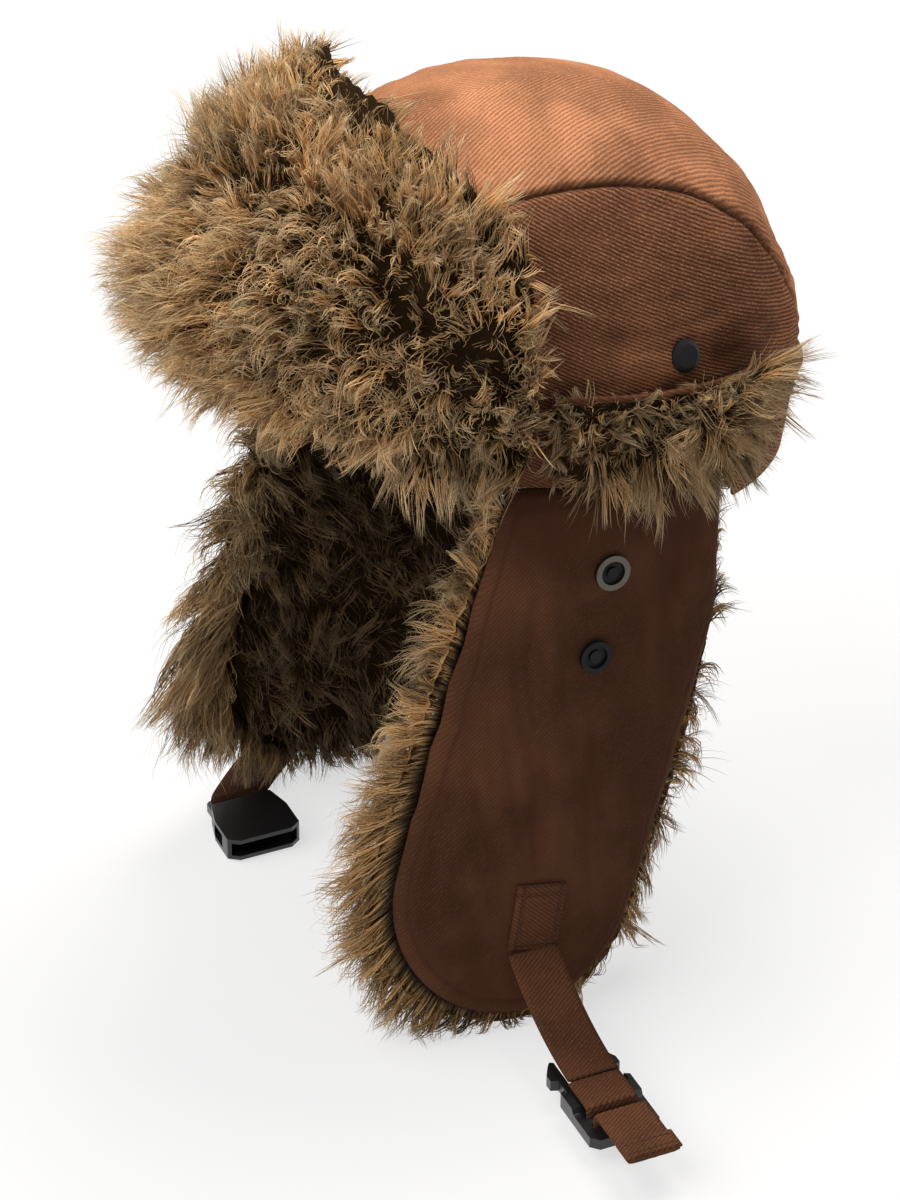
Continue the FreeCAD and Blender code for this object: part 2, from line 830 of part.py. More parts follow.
def left_strap_end():
    """Where the left webbing meets the plug's fold, from its run and its two slopes."""
    slope = (size("strap_start_angle") + size("strap_end_angle")) / 2
    return strap_start("left") + heading(slope) * size("strap_run")


def webbing_left():
    """Free webbing between the left patch and the plug, in one shallow curve."""
    slope = heading(size("strap_start_angle"))
    curve, _ = tangent_arc(strap_start("left"), slope, left_strap_end())
    strip = Part.Wire([curve]).makeOffset2D(size("webbing"), 0, True, True, False)
    width = size("webbing_width")
    strip.translate(Vector(0, -width / 2, 0))
    soft_part("webbing_left", strip.extrude(Vector(0, width, 0)))


def right_stations():
    """Middle, width direction and outer side of the right webbing at each station: it drops from the
    patch, folds under the flap's front corner and runs flat to the socket."""
    start = strap_start("right")
    width = size("webbing_width")
    return [
        (start, Vector(0, 1, -0.15), Vector(-1, 0, 0)),
        (start + Vector(-0.2, -0.3, -0.85) * width, Vector(0, 1, -0.2), Vector(-1, 0, -0.3)),
        (start + Vector(0.15, -1.5, -1.62) * width, Vector(0.6, 0.8, 0), Vector(-0.2, 0, -1)),
        (start + Vector(0.9, -2.25, -1.6) * width, Vector(0.5, 0.9, 0), Vector(0, 0, -1)),
        (start + Vector(1.3, -2.55, -1.42) * width, Vector(0, 1, 0), Vector(0, 0, -1)),
    ]


def webbing_right():
    """Webbing through its stations, ending in the loop round the socket's bar."""
    half_width = size("webbing_width") / 2
    half_thick = size("webbing") / 2
    rings = []
    for middle, across, outward in right_stations():
        wide = Vector(across).normalize()
        thick = Vector(outward).sub(wide * wide.dot(outward)).normalize()
        corners = []
        for u, v in ((1, 1), (-1, 1), (-1, -1), (1, -1)):
            corners.append(middle + wide * (u * half_width) + thick * (v * half_thick))
        rings.append(corners)
    ribbon = facet_stack(rings)
    bar = socket_bar_centre()
    hub = Vector(bar.x, bar.y - half_width, bar.z)
    inside = size("socket_bar") + size("loop_play")
    loop = Part.makeCylinder(inside + size("webbing"), 2 * half_width, hub, Vector(0, 1, 0))
    bore = Part.makeCylinder(inside, 2 * half_width, hub, Vector(0, 1, 0))
    soft_part("webbing_right", ribbon.fuse(loop).cut(bore))


def socket_bar_centre():
    """Centre of the bar in the socket, inside the right webbing's loop."""
    end = right_stations()[-1][0]
    return end + Vector(size("socket_bar") + size("loop_play") + size("webbing") / 2, 0, 0)


# ---------------------------------------------------------------- side-release buckle


def plug_place():
    """The plug's own frame: origin at the end of the left webbing, X along the tail."""
    return Placement(left_strap_end() + Vector(size("hinge_gap"), 0, 0), Rotation())


# heights below the webbing's middle, and distances along the plug, as expressions on the sheet
PLUG_BASE = "-(sizes.plug_thick + sizes.webbing)"
FRAME_TOP = f"({PLUG_BASE} + sizes.frame_thick)"
PLUG_END = "(sizes.plug_body + sizes.plug_frame)"
NEAR_SLOT = "(sizes.plug_body + sizes.webbing)"
FAR_SLOT = f"({NEAR_SLOT} + sizes.ladder_slot + sizes.ladder_bar)"
HALF_BUCKLE = "(sizes.buckle_width / 2)"
PRONG_ACROSS = f"({HALF_BUCKLE} - sizes.prong_root - sizes.socket_wall)"
ROOT_X = "(sizes.prong_root + sizes.prong_play)"


def rectangle(low_x, low_y, high_x, high_y):
    return [(low_x, low_y), (high_x, low_y), (high_x, high_y), (low_x, high_y)]


def circle(sketch, across, up, radius):
    """A circle whose centre and radius are held by expressions."""
    centre = Vector(number(across), number(up), 0)
    index = sketch.addGeometry(Part.Circle(centre, Vector(0, 0, 1), number(radius)), False)
    for kind, expression in (("DistanceX", across), ("DistanceY", up)):
        rule = Sketcher.Constraint(kind, -1, 1, index, 3, number(expression))
        place = sketch.addConstraint(rule)
        sketch.setExpression(f"Constraints[{place}]", expression)
    place = sketch.addConstraint(Sketcher.Constraint("Radius", index, number(radius)))
    sketch.setExpression(f"Constraints[{place}]", radius)


def buckle_plug():
    """Plug body and ladder-lock frame moulded as one, with the guide tongue and prong seats."""
    body = doc.addObject("PartDesign::Body", "buckle_plug")
    corner = "sizes.buckle_corner"
    outline = sketch_in(body, "XY_Plane", "plug_outline", PLUG_BASE)
    polygon(
        outline,
        [
            ("0 * sizes.plug_body", f"-{HALF_BUCKLE} + {corner}"),
            (f"0.5 * {corner}", f"-{HALF_BUCKLE}"),
            (f"{PLUG_END} - {corner}", f"-{HALF_BUCKLE}"),
            (PLUG_END, f"-{HALF_BUCKLE} + {corner}"),
            (PLUG_END, f"{HALF_BUCKLE} - {corner}"),
            (f"{PLUG_END} - {corner}", HALF_BUCKLE),
            (f"0.5 * {corner}", HALF_BUCKLE),
            ("0 * sizes.plug_body", f"{HALF_BUCKLE} - {corner}"),
        ],
    )
    pad(body, outline, "plug_block", "sizes.plug_thick")
    doc.recompute()

    # the frame is thinner than the body, stepped down by a slope on its upper side
    step = sketch_in(body, "XZ_Plane", "frame_step")
    above = "(sizes.plug_thick - sizes.frame_thick)"
    polygon(
        step,
        [
            ("sizes.plug_body", FRAME_TOP),
            (f"2 * {PLUG_END}", FRAME_TOP),
            (f"2 * {PLUG_END}", f"{FRAME_TOP} + 2 * {above}"),
            (f"sizes.plug_body - {above}", f"{FRAME_TOP} + 2 * {above}"),
        ],
    )
    pocket(body, step, "frame_step_cut", "2 * sizes.buckle_width")

    # ladder slots on both sides of the bar, as wide as the webbing
    slots = sketch_in(body, "XY_Plane", "ladder_slots", PLUG_BASE)
    reach = "(sizes.webbing_width / 2 + sizes.loop_play)"
    for start in (NEAR_SLOT, FAR_SLOT):
        polygon(slots, rectangle(start, f"-{reach}", f"{start} + sizes.ladder_slot", reach))
    pocket(body, slots, "ladder_slot_cut", "4 * sizes.plug_thick")

    # guide tongue between the prongs, rooted inside the body
    tongue = sketch_in(body, "XY_Plane", "tongue_outline", f"{PLUG_BASE} + 0.3 * sizes.plug_thick")
    polygon(
        tongue,
        [
            ("-sizes.tongue_reach", "-0.36 * sizes.tongue_width"),
            ("0.5 * sizes.plug_body", "-0.5 * sizes.tongue_width"),
            ("0.5 * sizes.plug_body", "0.5 * sizes.tongue_width"),
            ("-sizes.tongue_reach", "0.36 * sizes.tongue_width"),
        ],
    )
    pad(body, tongue, "tongue", "0.4 * sizes.plug_thick")
    doc.recompute()

    # round seats for the prongs' roots, each open at the front through a narrower mouth
    seats = sketch_in(body, "XY_Plane", "prong_seats", PLUG_BASE)
    mouths = sketch_in(body, "XY_Plane", "prong_mouths", PLUG_BASE)
    half_mouth = "(sizes.prong_width / 2 + sizes.prong_swing_play)"
    for sign in (-1, 1):
        across = f"{sign} * {PRONG_ACROSS}"
        circle(seats, ROOT_X, across, "sizes.prong_root + sizes.prong_play")
        polygon(
            mouths,
            rectangle("-sizes.prong_root", f"{across} - {half_mouth}", ROOT_X, f"{across} + {half_mouth}"),
        )
    pocket(body, seats, "prong_seat_cut", "4 * sizes.plug_thick")
    pocket(body, mouths, "prong_mouth_cut", "4 * sizes.plug_thick")
    body.Placement = plug_place()
    keep(body, "buckle_plug")


def prong(label, sign):
    """Springy side arm with a hooked tip, turning a little about its root."""
    body = doc.addObject("PartDesign::Body", label)
    base = f"{PLUG_BASE} + 0.5 * (sizes.plug_thick - sizes.prong_thick)"
    root = sketch_in(body, "XY_Plane", f"{label}_root", base)
    circle(root, ROOT_X, f"{sign} * {PRONG_ACROSS}", "sizes.prong_root")
    pad(body, root, f"{label}_root_pad", "sizes.prong_thick")
    doc.recompute()
    arm = sketch_in(body, "XY_Plane", f"{label}_outline", base)
    inner = f"{sign} * ({PRONG_ACROSS} - sizes.prong_width / 2)"
    outer = f"{sign} * ({PRONG_ACROSS} + sizes.prong_width / 2)"
    hook = f"{sign} * {HALF_BUCKLE}"
    polygon(
        arm,
        [
            (ROOT_X, inner),
            ("-0.95 * sizes.prong_reach", inner),
            ("-sizes.prong_reach", f"{sign} * {PRONG_ACROSS}"),
            ("-0.9 * sizes.prong_reach", outer),
            ("-0.62 * sizes.prong_reach", hook),
            ("-0.42 * sizes.prong_reach", hook),
            ("-0.36 * sizes.prong_reach", outer),
            (ROOT_X, outer),
        ],
    )
    pad(body, arm, f"{label}_arm", "sizes.prong_thick")
    body.Placement = plug_place()
    keep(body, label)


def strap_tail():
    """Webbing that dips through the near slot, under the bar and up the far slot, and ends as the
    free tail with its end folded under."""
    web = size("webbing")
    play = (size("ladder_slot") - web) / 2
    down = number(NEAR_SLOT) + play
    rise = number(FAR_SLOT) + play + web
    end = rise + size("tail_length")
    half = web / 2
    under = number(PLUG_BASE) - size("hinge_gap")
    lift = half + size("hinge_gap")
    outline = [
        Vector(0, 0, half),
        Vector(down + web, 0, half),
        Vector(down + web, 0, under),
        Vector(rise - web, 0, under),
        Vector(rise - web, 0, lift + web),
        Vector(end, 0, lift + web),
        Vector(end, 0, lift - web),
        Vector(end - 3 * web, 0, lift - web),
        Vector(end - 3 * web, 0, lift),
        Vector(rise, 0, lift),
        Vector(rise, 0, under - web),
        Vector(down, 0, under - web),
        Vector(down, 0, -half),
        Vector(0, 0, -half),
    ]
    width = size("webbing_width")
    solid = polyline_face(outline).extrude(Vector(0, width, 0))
    solid.translate(Vector(0, -width / 2, 0))
    soft_part("strap_tail", solid, plug_place())


def buckle_socket():
    """Socket housing with its mouth, side windows and the webbing bar at its back."""
    body = doc.addObject("PartDesign::Body", "buckle_socket")
    corner = "sizes.buckle_corner"
    bar = "sizes.socket_bar"
    wall = "sizes.socket_wall"
    half_thick = "(sizes.socket_thick / 2)"
    widest = f"({HALF_BUCKLE} + 0.4 * {corner})"
    back = f"({bar} + 2 * sizes.loop_play + sizes.webbing)"
    end = f"({back} + sizes.socket_length)"

    outline = sketch_in(body, "XY_Plane", "socket_outline", f"-{half_thick}")
    polygon(
        outline,
        [
            (back, f"-{HALF_BUCKLE} + 0.5 * {corner}"),
            (f"{back} + 0.4 * sizes.socket_length", f"-{widest}"),
            (f"{end} - {corner}", f"-{widest}"),
            (end, f"-{HALF_BUCKLE} + {corner}"),
            (end, f"{HALF_BUCKLE} - {corner}"),
            (f"{end} - {corner}", widest),
            (f"{back} + 0.4 * sizes.socket_length", widest),
            (back, f"{HALF_BUCKLE} - 0.5 * {corner}"),
        ],
    )
    pad(body, outline, "socket_block", "sizes.socket_thick")
    doc.recompute()

    # cheeks that carry the webbing bar behind the housing
    for sign, name in ((-1, "near"), (1, "far")):
        cheek = sketch_in(body, "XY_Plane", f"cheek_{name}", f"-{bar}")
        inside = f"{sign} * (sizes.webbing_width / 2 + sizes.loop_play)"
        outside = f"{sign} * ({HALF_BUCKLE} - 0.5 * {corner})"
        polygon(
            cheek,
            [
                (f"-1.1 * {bar}", inside),
                (f"{back} + {wall} / 2", inside),
                (f"{back} + {wall} / 2", outside),
                (f"-0.4 * {bar}", outside),
                (f"-1.1 * {bar}", f"{sign} * ({HALF_BUCKLE} - 0.9 * {corner})"),
            ],
        )
        pad(body, cheek, f"cheek_pad_{name}", f"2 * {bar}")
    doc.recompute()
    rod = sketch_in(body, "XZ_Plane", "bar_section")
    circle(rod, f"0 * {bar}", f"0 * {bar}", bar)
    pad(body, rod, "bar_pad", "sizes.webbing_width + 4 * sizes.loop_play", True)
    doc.recompute()

    # mouth for the plug, and the side windows where its hooks catch
    mouth = sketch_in(body, "YZ_Plane", "socket_mouth", end)
    half_mouth = f"({HALF_BUCKLE} - sizes.loop_play / 2)"
    inner = f"({half_thick} - {wall})"
    polygon(mouth, rectangle(f"-{half_mouth}", f"-{inner}", half_mouth, inner))
    pocket(body, mouth, "socket_mouth_cut", f"2 * (sizes.socket_length - 2 * {wall})")
    window = sketch_in(body, "XZ_Plane", "side_window")
    first = f"{back} + 0.32 * sizes.socket_length"
    last = f"{back} + 0.68 * sizes.socket_length"
    polygon(window, rectangle(first, f"-{inner}", last, inner))
    pocket(body, window, "side_window_cut", "2 * sizes.buckle_width")
    body.Placement = Placement(socket_bar_centre(), Rotation())
    keep(body, "buckle_socket")


# ---------------------------------------------------------------- build and export

crown()
visor()
ear_covers()
neck_flap()
for side in ("left", "right"):
    earflap(side)
    snaps(side)
webbing_left()
webbing_right()
buckle_plug()
prong("prong_near", -1)
prong("prong_far", 1)
strap_tail()
buckle_socket()
doc.recompute()

for obj in doc.Objects:
    if "Invalid" in obj.State or "Error" in obj.State:
        raise RuntimeError(f"{obj.Name} failed: {obj.State}")
for obj in parts:
    if obj.Shape.isNull() or not obj.Shape.isValid() or not obj.Shape.Solids:
        raise RuntimeError(f"{obj.Label} has no valid solid")

os.makedirs("parts", exist_ok=True)
for obj in parts:
    obj.Shape.exportStep(f"parts/{obj.Label}.step")
    print(f"{obj.Label}: {len(obj.Shape.Solids)} solid, {obj.Shape.Volume:.0f} mm3")
pivots = {
    "visor": visor_hinge(),
    "earflap": flap_hinge(),
    "ear cover": ear_cover_hinge(),
    "neck flap": neck_hinge(),
    "left strap": strap_start("left"),
    "right strap": strap_start("right"),
    "plug": plug_place().multVec(Vector(-size("hinge_gap") / 2, 0, size("webbing") / 2)),
    "prong": plug_place().multVec(Vector(number(ROOT_X), number(PRONG_ACROSS), 0)),
    "socket": socket_bar_centre(),
}
for name, point in pivots.items():
    print(f"pivot of {name}: {point.x:.3f} {point.y:.3f} {point.z:.3f}")
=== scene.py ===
import json
import math

import bpy
import numpy as np
from mathutils import Matrix, Vector, noise
from mathutils.bvhtree import BVHTree
from mathutils.kdtree import KDTree


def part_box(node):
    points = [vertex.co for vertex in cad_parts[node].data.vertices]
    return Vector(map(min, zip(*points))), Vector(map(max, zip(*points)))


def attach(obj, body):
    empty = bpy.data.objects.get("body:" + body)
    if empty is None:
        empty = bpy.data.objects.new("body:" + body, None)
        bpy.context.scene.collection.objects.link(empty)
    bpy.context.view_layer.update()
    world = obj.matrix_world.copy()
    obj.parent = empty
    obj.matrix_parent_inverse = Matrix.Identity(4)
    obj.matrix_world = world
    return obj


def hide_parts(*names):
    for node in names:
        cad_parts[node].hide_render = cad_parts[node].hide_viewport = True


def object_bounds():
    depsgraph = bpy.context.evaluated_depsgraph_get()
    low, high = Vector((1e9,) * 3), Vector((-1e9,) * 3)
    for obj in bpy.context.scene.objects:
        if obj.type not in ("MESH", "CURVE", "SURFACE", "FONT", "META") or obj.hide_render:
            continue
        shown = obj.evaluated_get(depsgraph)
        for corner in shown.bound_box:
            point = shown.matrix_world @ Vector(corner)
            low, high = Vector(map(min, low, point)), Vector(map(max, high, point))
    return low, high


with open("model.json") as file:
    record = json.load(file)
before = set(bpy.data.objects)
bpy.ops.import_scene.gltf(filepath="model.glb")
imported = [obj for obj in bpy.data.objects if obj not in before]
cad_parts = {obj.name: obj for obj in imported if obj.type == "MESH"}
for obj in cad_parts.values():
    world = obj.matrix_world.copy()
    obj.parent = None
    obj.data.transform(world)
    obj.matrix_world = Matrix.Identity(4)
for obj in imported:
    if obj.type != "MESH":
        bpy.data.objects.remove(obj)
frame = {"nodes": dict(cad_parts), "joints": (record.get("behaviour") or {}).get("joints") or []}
CAD_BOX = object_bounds()
NODES = frame["nodes"]
JOINTS = {joint["name"]: joint for joint in frame["joints"]}

bl_info = {
    "name": "Trapper hat",
    "version": (1, 0, 0),
    "blender": (4, 5, 0),
    "location": "View3D > Sidebar > Hat",
    "description": "Dresses a trapper hat's solids in twill, long fur, webbing and snaps",
    "category": "Add Mesh",
}

MM = 0.001
# the crown and the pieces folded up round it are level in the rim's own frame, which is tipped back
RIM_TILT = 9
RIM = Matrix.Rotation(math.radians(-RIM_TILT), 4, "X")
RIM_TURN = np.array(RIM.to_3x3())


# ------------------------------------------------------------------ settings


class HatSizes(bpy.types.PropertyGroup):
    """Sizes that a user would change."""

    lock_count: bpy.props.FloatProperty(
        name="Fur density", description="Locks for each square centimetre", default=60.0, min=5.0
    )
    lock_width: bpy.props.FloatProperty(
        name="Lock width", description="Width of a lock near its root", default=0.56 * MM, unit="LENGTH"
    )
    lock_curl: bpy.props.FloatProperty(
        name="Lock curl", description="How far a lock winds off its line", default=2.4 * MM, unit="LENGTH"
    )
    rib_pitch: bpy.props.FloatProperty(
        name="Rib pitch", description="Distance between the twill's ribs", default=1.35 * MM, unit="LENGTH"
    )
    seam_depth: bpy.props.FloatProperty(
        name="Seam depth", description="Depth of the crown's seams", default=1.5 * MM, unit="LENGTH"
    )
    pucker: bpy.props.FloatProperty(
        name="Pucker", description="Height of the cloth's soft creases", default=1.5 * MM, unit="LENGTH"
    )
    stitch: bpy.props.FloatProperty(
        name="Stitch", description="Length of one stitch", default=2.2 * MM, unit="LENGTH"
    )


def colour(name, text, value):
    return bpy.props.FloatVectorProperty(
        name=name, description=text, default=value, subtype="COLOR", size=3, min=0.0, max=1.0
    )


class HatColours(bpy.types.PropertyGroup):
    """Colours that a user would change, in linear light."""

    twill: colour("Twill", "Body colour of the cloth", (0.27, 0.112, 0.055))
    # twill_dark is also the colour of the painted shade in creases, seams and hollows
    twill_dark: colour("Twill shade", "Cloth between the ribs and in creases", (0.066, 0.024, 0.0135))
    twill_worn: colour("Twill worn", "Rubbed ribs", (0.48, 0.23, 0.124))
    fur_tip: colour("Fur tips", "Palest part of the fur", (0.95, 0.70, 0.40))
    fur_body: colour("Fur body", "Middle of the fur", (0.52, 0.31, 0.13))
    # the dark roots are partly the fur's own colour and partly painted shade between the locks
    fur_root: colour("Fur roots", "Darkest part of the fur", (0.026, 0.015, 0.007))
    thread: colour("Thread", "Stitching", (0.062, 0.028, 0.019))
    plastic: colour("Plastic", "Buckle", (0.006, 0.006, 0.0065))
    steel: colour("Ring", "Plain metal ring of a snap", (0.1, 0.09, 0.072))
    black_metal: colour("Black snap", "Blackened metal", (0.005, 0.005, 0.0055))
    lining: colour("Lining", "Cloth inside the crown", (0.085, 0.041, 0.026))


def sizes():
    return bpy.context.scene.hat_sizes


def colours():
    return bpy.context.scene.hat_colours


# ------------------------------------------------------------------ shader nodes


class Value:
    """A socket in a material's graph that can be used in a Python sum."""

    def __init__(self, graph, socket):
        self.graph = graph
        self.socket = socket

    def maths(self, operation, *others):
        inputs = dict(enumerate((self, *others)))
        return self.graph.add("ShaderNodeMath", {"operation": operation}, inputs)

    def __add__(self, other):
        return self.maths("ADD", other)

    def __sub__(self, other):
        return self.maths("SUBTRACT", other)

    def __rsub__(self, other):
        return self.graph.add("ShaderNodeMath", {"operation": "SUBTRACT"}, {0: other, 1: self})

    def __mul__(self, other):
        return self.maths("MULTIPLY", other)

    __radd__ = __add__
    __rmul__ = __mul__

    def sine(self):
        return self.maths("SINE")

    def between(self, low, high):
        """0 below low, 1 above high and smooth from one to the other."""
        settings = {"interpolation_type": "SMOOTHSTEP"}
        return self.graph.add("ShaderNodeMapRange", settings, {"Value": self, 1: low, 2: high})

    def clamped(self):
        return self.graph.add("ShaderNodeClamp", {}, {"Value": self})


class Graph:
    """Builds the nodes of one material, or of the world."""

    def __init__(self, name, owner=None, shader="Principled BSDF"):
        self.owner = owner or bpy.data.materials.new(name)
        self.owner.use_nodes = True
        self.tree = self.owner.node_tree
        self.shader = self.tree.nodes[shader]

    def add(self, kind, settings, inputs, output=0):
        node = self.tree.nodes.new(kind)
        for key, value in settings.items():
            setattr(node, key, value)
        for key, value in inputs.items():
            self.set(node.inputs[key], value)
        return Value(self, node.outputs[output])

    def set(self, socket, value):
        if isinstance(value, Value):
            self.tree.links.new(value.socket, socket)
        elif not hasattr(socket, "default_value"):
            raise TypeError(f"{socket.name} takes only a link")
        elif hasattr(socket.default_value, "__len__") and len(socket.default_value) == 4:
            socket.default_value = (*value, 1.0)
        else:
            socket.default_value = value

    def mix(self, factor, a, b, blend="MIX"):
        settings = {"data_type": "RGBA", "blend_type": blend}
        return self.add("ShaderNodeMix", settings, {"Factor": factor, 6: a, 7: b}, 2)

    def noise(self, scale, detail=2.0, vector=None, output=0):
        inputs = {"Scale": scale, "Detail": detail}
        inputs["Vector"] = vector or self.add("ShaderNodeTexCoord", {}, {}, "Object")
        return self.add("ShaderNodeTexNoise", {}, inputs, output)

    def across(self, name):
        """The two coordinates of a UV map."""
        uv = self.add("ShaderNodeUVMap", {"uv_map": name}, {})
        split = self.add("ShaderNodeSeparateXYZ", {}, {"Vector": uv})
        return split, Value(self, split.socket.node.outputs[1])

    def attribute(self, name):
        return self.add("ShaderNodeAttribute", {"attribute_name": name}, {}, "Fac")

    def finish(self, **inputs):
        """Set the main shader's sockets, named with underscores for spaces."""
        for key, value in inputs.items():
            self.set(self.shader.inputs[key.replace("_", " ")], value)
        return self.owner

    def seen(self):
        """1 where the camera looks, or where gloss or glass shows the surroundings, and 0 for other light."""
        kinds = ("Is Camera Ray", "Is Glossy Ray", "Is Transmission Ray")
        camera, gloss, glass = (self.add("ShaderNodeLightPath", {}, {}, kind) for kind in kinds)
        return (camera + gloss + glass).clamped()

    def lighten(self, kind, share):
        """Mix a white shader over the main one, by a share from 0 to 1."""
        white = self.add(kind, {}, {"Color": (1.0, 1.0, 1.0)})
        own = Value(self, self.shader.outputs[0])
        both = self.add("ShaderNodeMixShader", {}, {0: share, 1: own, 2: white})
        self.set(self.tree.get_output_node("ALL").inputs["Surface"], both)

    def bump(self, height, distance, strength=1.0):
        return self.add(
            "ShaderNodeBump", {}, {"Height": height, "Distance": distance, "Strength": strength}
        )


def ribs(graph, pitch, slope):
    """Rounded diagonal ribs over a piece's cloth coordinates, which are in metres: 0 to 1."""
    u, v = graph.across("cloth")
    wander = graph.noise(260.0, 1.0) * (0.5 * pitch)
    line = u * math.sin(slope) + v * math.cos(slope) + wander
    return (line * (2 * math.pi / pitch)).sine() * 0.5 + 0.5


# painted light: the crown's top panel is painted lighter than the rest of the same cloth, as lit from above
PAINTED_TOP_LIGHT = 2.0


def twill(name, slope=0.45, pitch=None, shade=1.0, contrast=1.0):
    """Brushed cotton twill: fine diagonal ribs, mottled dye and rubbed ridges, with painted shade in creases
    and painted light on the top panel.
    """
    tint = colours()
    graph = Graph(name)
    rib = ribs(graph, pitch or sizes().rib_pitch, slope)
    broad = graph.noise(22.0, 4.0).between(0.36, 0.66)
    fine = graph.noise(1100.0, 2.0)
    # shade below 1 darkens all of a piece's cloth; for the earflaps, the ear covers' cloth and the far strap it
    # is painted shade
    body = graph.mix(broad, dyed(tint.twill, 0.62 * shade), dyed(tint.twill, 1.2 * shade))
    # painted light on the crown's top panel: its cloth is multiplied brighter, with less rib contrast, as lit
    # from above
    painted_top_light = graph.attribute("painted_top_light")
    clear = 1 - painted_top_light * 0.5
    valley = (1 - rib.between(0.0, 0.55)) * fine.between(0.25, 0.6) * clear * (0.85 * contrast)
    lines = graph.mix(valley.clamped(), body, tint.twill_dark)
    worn = rib.between(0.55, 1.0) * fine.between(0.45, 0.68) * clear * (0.6 * contrast)
    cloth = graph.mix(worn.clamped(), lines, dyed(tint.twill_worn, shade))
    cloth = graph.mix(painted_top_light, cloth, (PAINTED_TOP_LIGHT, PAINTED_TOP_LIGHT * 1.04, PAINTED_TOP_LIGHT * 1.04), "MULTIPLY")
    # painted shade: each piece marks where shade is painted over its cloth, in creases, seams, hollows and near
    # the rim
    painted_shade = graph.attribute("painted_shade")
    cloth = graph.mix(painted_shade.clamped(), cloth, tint.twill_dark)
    height = rib * (0.6 * contrast) + fine * 0.6
    return graph.finish(
        Base_Color=cloth,
        Roughness=0.9 - fine * 0.1,
        Specular_IOR_Level=0.06,
        Normal=graph.bump(height, 0.3 * MM, 0.6),
    )


def dyed(base, share):
    """A colour brought up or down."""
    return [channel * share for channel in base]


def fur_material(name, light=1.0, root=0.54, least=0.46):
    """Fur locks, dark up to the root's share of their length and pale at the tip; the dark roots are partly the
    fur's own colour and partly painted shade. Each lock has its own place across the map, least is the darkest
    tip's share of the palest, and light scales the whole colour as painted light or painted shade."""
    tint = colours()
    graph = Graph(name)
    variant, along = graph.across("OFBake")
    pale = graph.mix(variant, dyed(tint.fur_tip, least * light), dyed(tint.fur_tip, light))
    body = graph.mix(variant, dyed(tint.fur_body, 0.28 * light), dyed(tint.fur_body, 1.85 * light))
    lower = graph.mix(along.between(0.1 * root, root), tint.fur_root, body)
    whole = graph.mix(along.between(0.45, 0.97), lower, pale)
    return graph.finish(Base_Color=whole, Roughness=0.5, Specular_IOR_Level=0.2)


def plain(name, base, roughness, grain=0.02 * MM, metallic=0.0, coat=0.0, shine=0.5):
    """Moulded or pressed surface with a little variation in its gloss and a fine grain."""
    graph = Graph(name)
    mottle = graph.noise(180.0, 3.0)
    shades = graph.mix(mottle, dyed(base, 0.7), dyed(base, 1.35))
    normal = graph.bump(graph.noise(2600.0, 2.0), grain, 0.5)
    return graph.finish(
        Base_Color=shades,
        Roughness=roughness + mottle * 0.16,
        Metallic=metallic,
        Coat_Weight=coat,
        Specular_IOR_Level=shine,
        Normal=normal,
    )


def matte(name, base):
    """Felted under-fur without any shine."""
    graph = Graph(name)
    shades = graph.mix(graph.noise(900.0, 3.0), dyed(base, 0.5), dyed(base, 1.5))
    return graph.finish(Base_Color=shades, Roughness=1.0, Specular_IOR_Level=0.0)


MATERIALS = {}


def material(name):
    """The finish with that name, made the first time it is asked for."""
    if name not in MATERIALS:
        tint = colours()
        makers = {
            "crown_twill": lambda: twill(name, slope=0.42, contrast=1.5),
            # painted shade: the earflaps' cloth is a darker copy of the twill, for the shade it hangs in
            "shaded_flap_twill": lambda: twill(name, slope=-0.75, pitch=1.2 * MM, shade=0.38, contrast=0.75),
            "strap_twill": lambda: twill(name, slope=0.6, pitch=1.3 * MM, shade=0.42),
            # painted shade: the far strap's webbing is a nearly black copy, as in shadow
            "shaded_far_twill": lambda: twill(name, slope=0.6, pitch=1.3 * MM, shade=0.1),
            # painted shade: the ear covers' cloth is a darker copy, for the shaded folds between the visor and
            # the ear covers
            "shaded_edge_twill": lambda: twill(name, slope=0.42, shade=0.4),
            "fur": lambda: fur_material(name),
            "fringe": lambda: fur_material(name, 0.8, 0.2),
            "shaded_fur": lambda: fur_material(name, 0.75),
            # painted light: the locks along the visor's top edge are a paler copy, as catching the light
            "lit_edge_fur": lambda: fur_material(name, 1.0, 0.15, 0.85),
            # painted shade: the far flap's fur and fringe are darker copies, as in shadow
            "shaded_far_fur": lambda: fur_material(name, 0.35),
            "shaded_far_fringe": lambda: fur_material(name, 0.7),
            "backing": lambda: matte(name, dyed(tint.fur_body, 0.7)),
            # the under-fur under most coats takes the nearly black root colour: partly the fur's own dark base,
            # partly painted shade
            "pelt": lambda: matte(name, tint.fur_root),
            "thread": lambda: plain(name, tint.thread, 0.7),
            "lining": lambda: plain(name, tint.lining, 0.75, 0.15 * MM),
            "plastic": lambda: plain(name, tint.plastic, 0.26, 0.012 * MM, coat=0.2),
            "black_metal": lambda: plain(name, tint.black_metal, 0.4, shine=0.18),
            "steel": lambda: plain(name, tint.steel, 0.3, metallic=1.0),
        }
        MATERIALS[name] = makers[name]()
    return MATERIALS[name]


# ------------------------------------------------------------------ mesh building


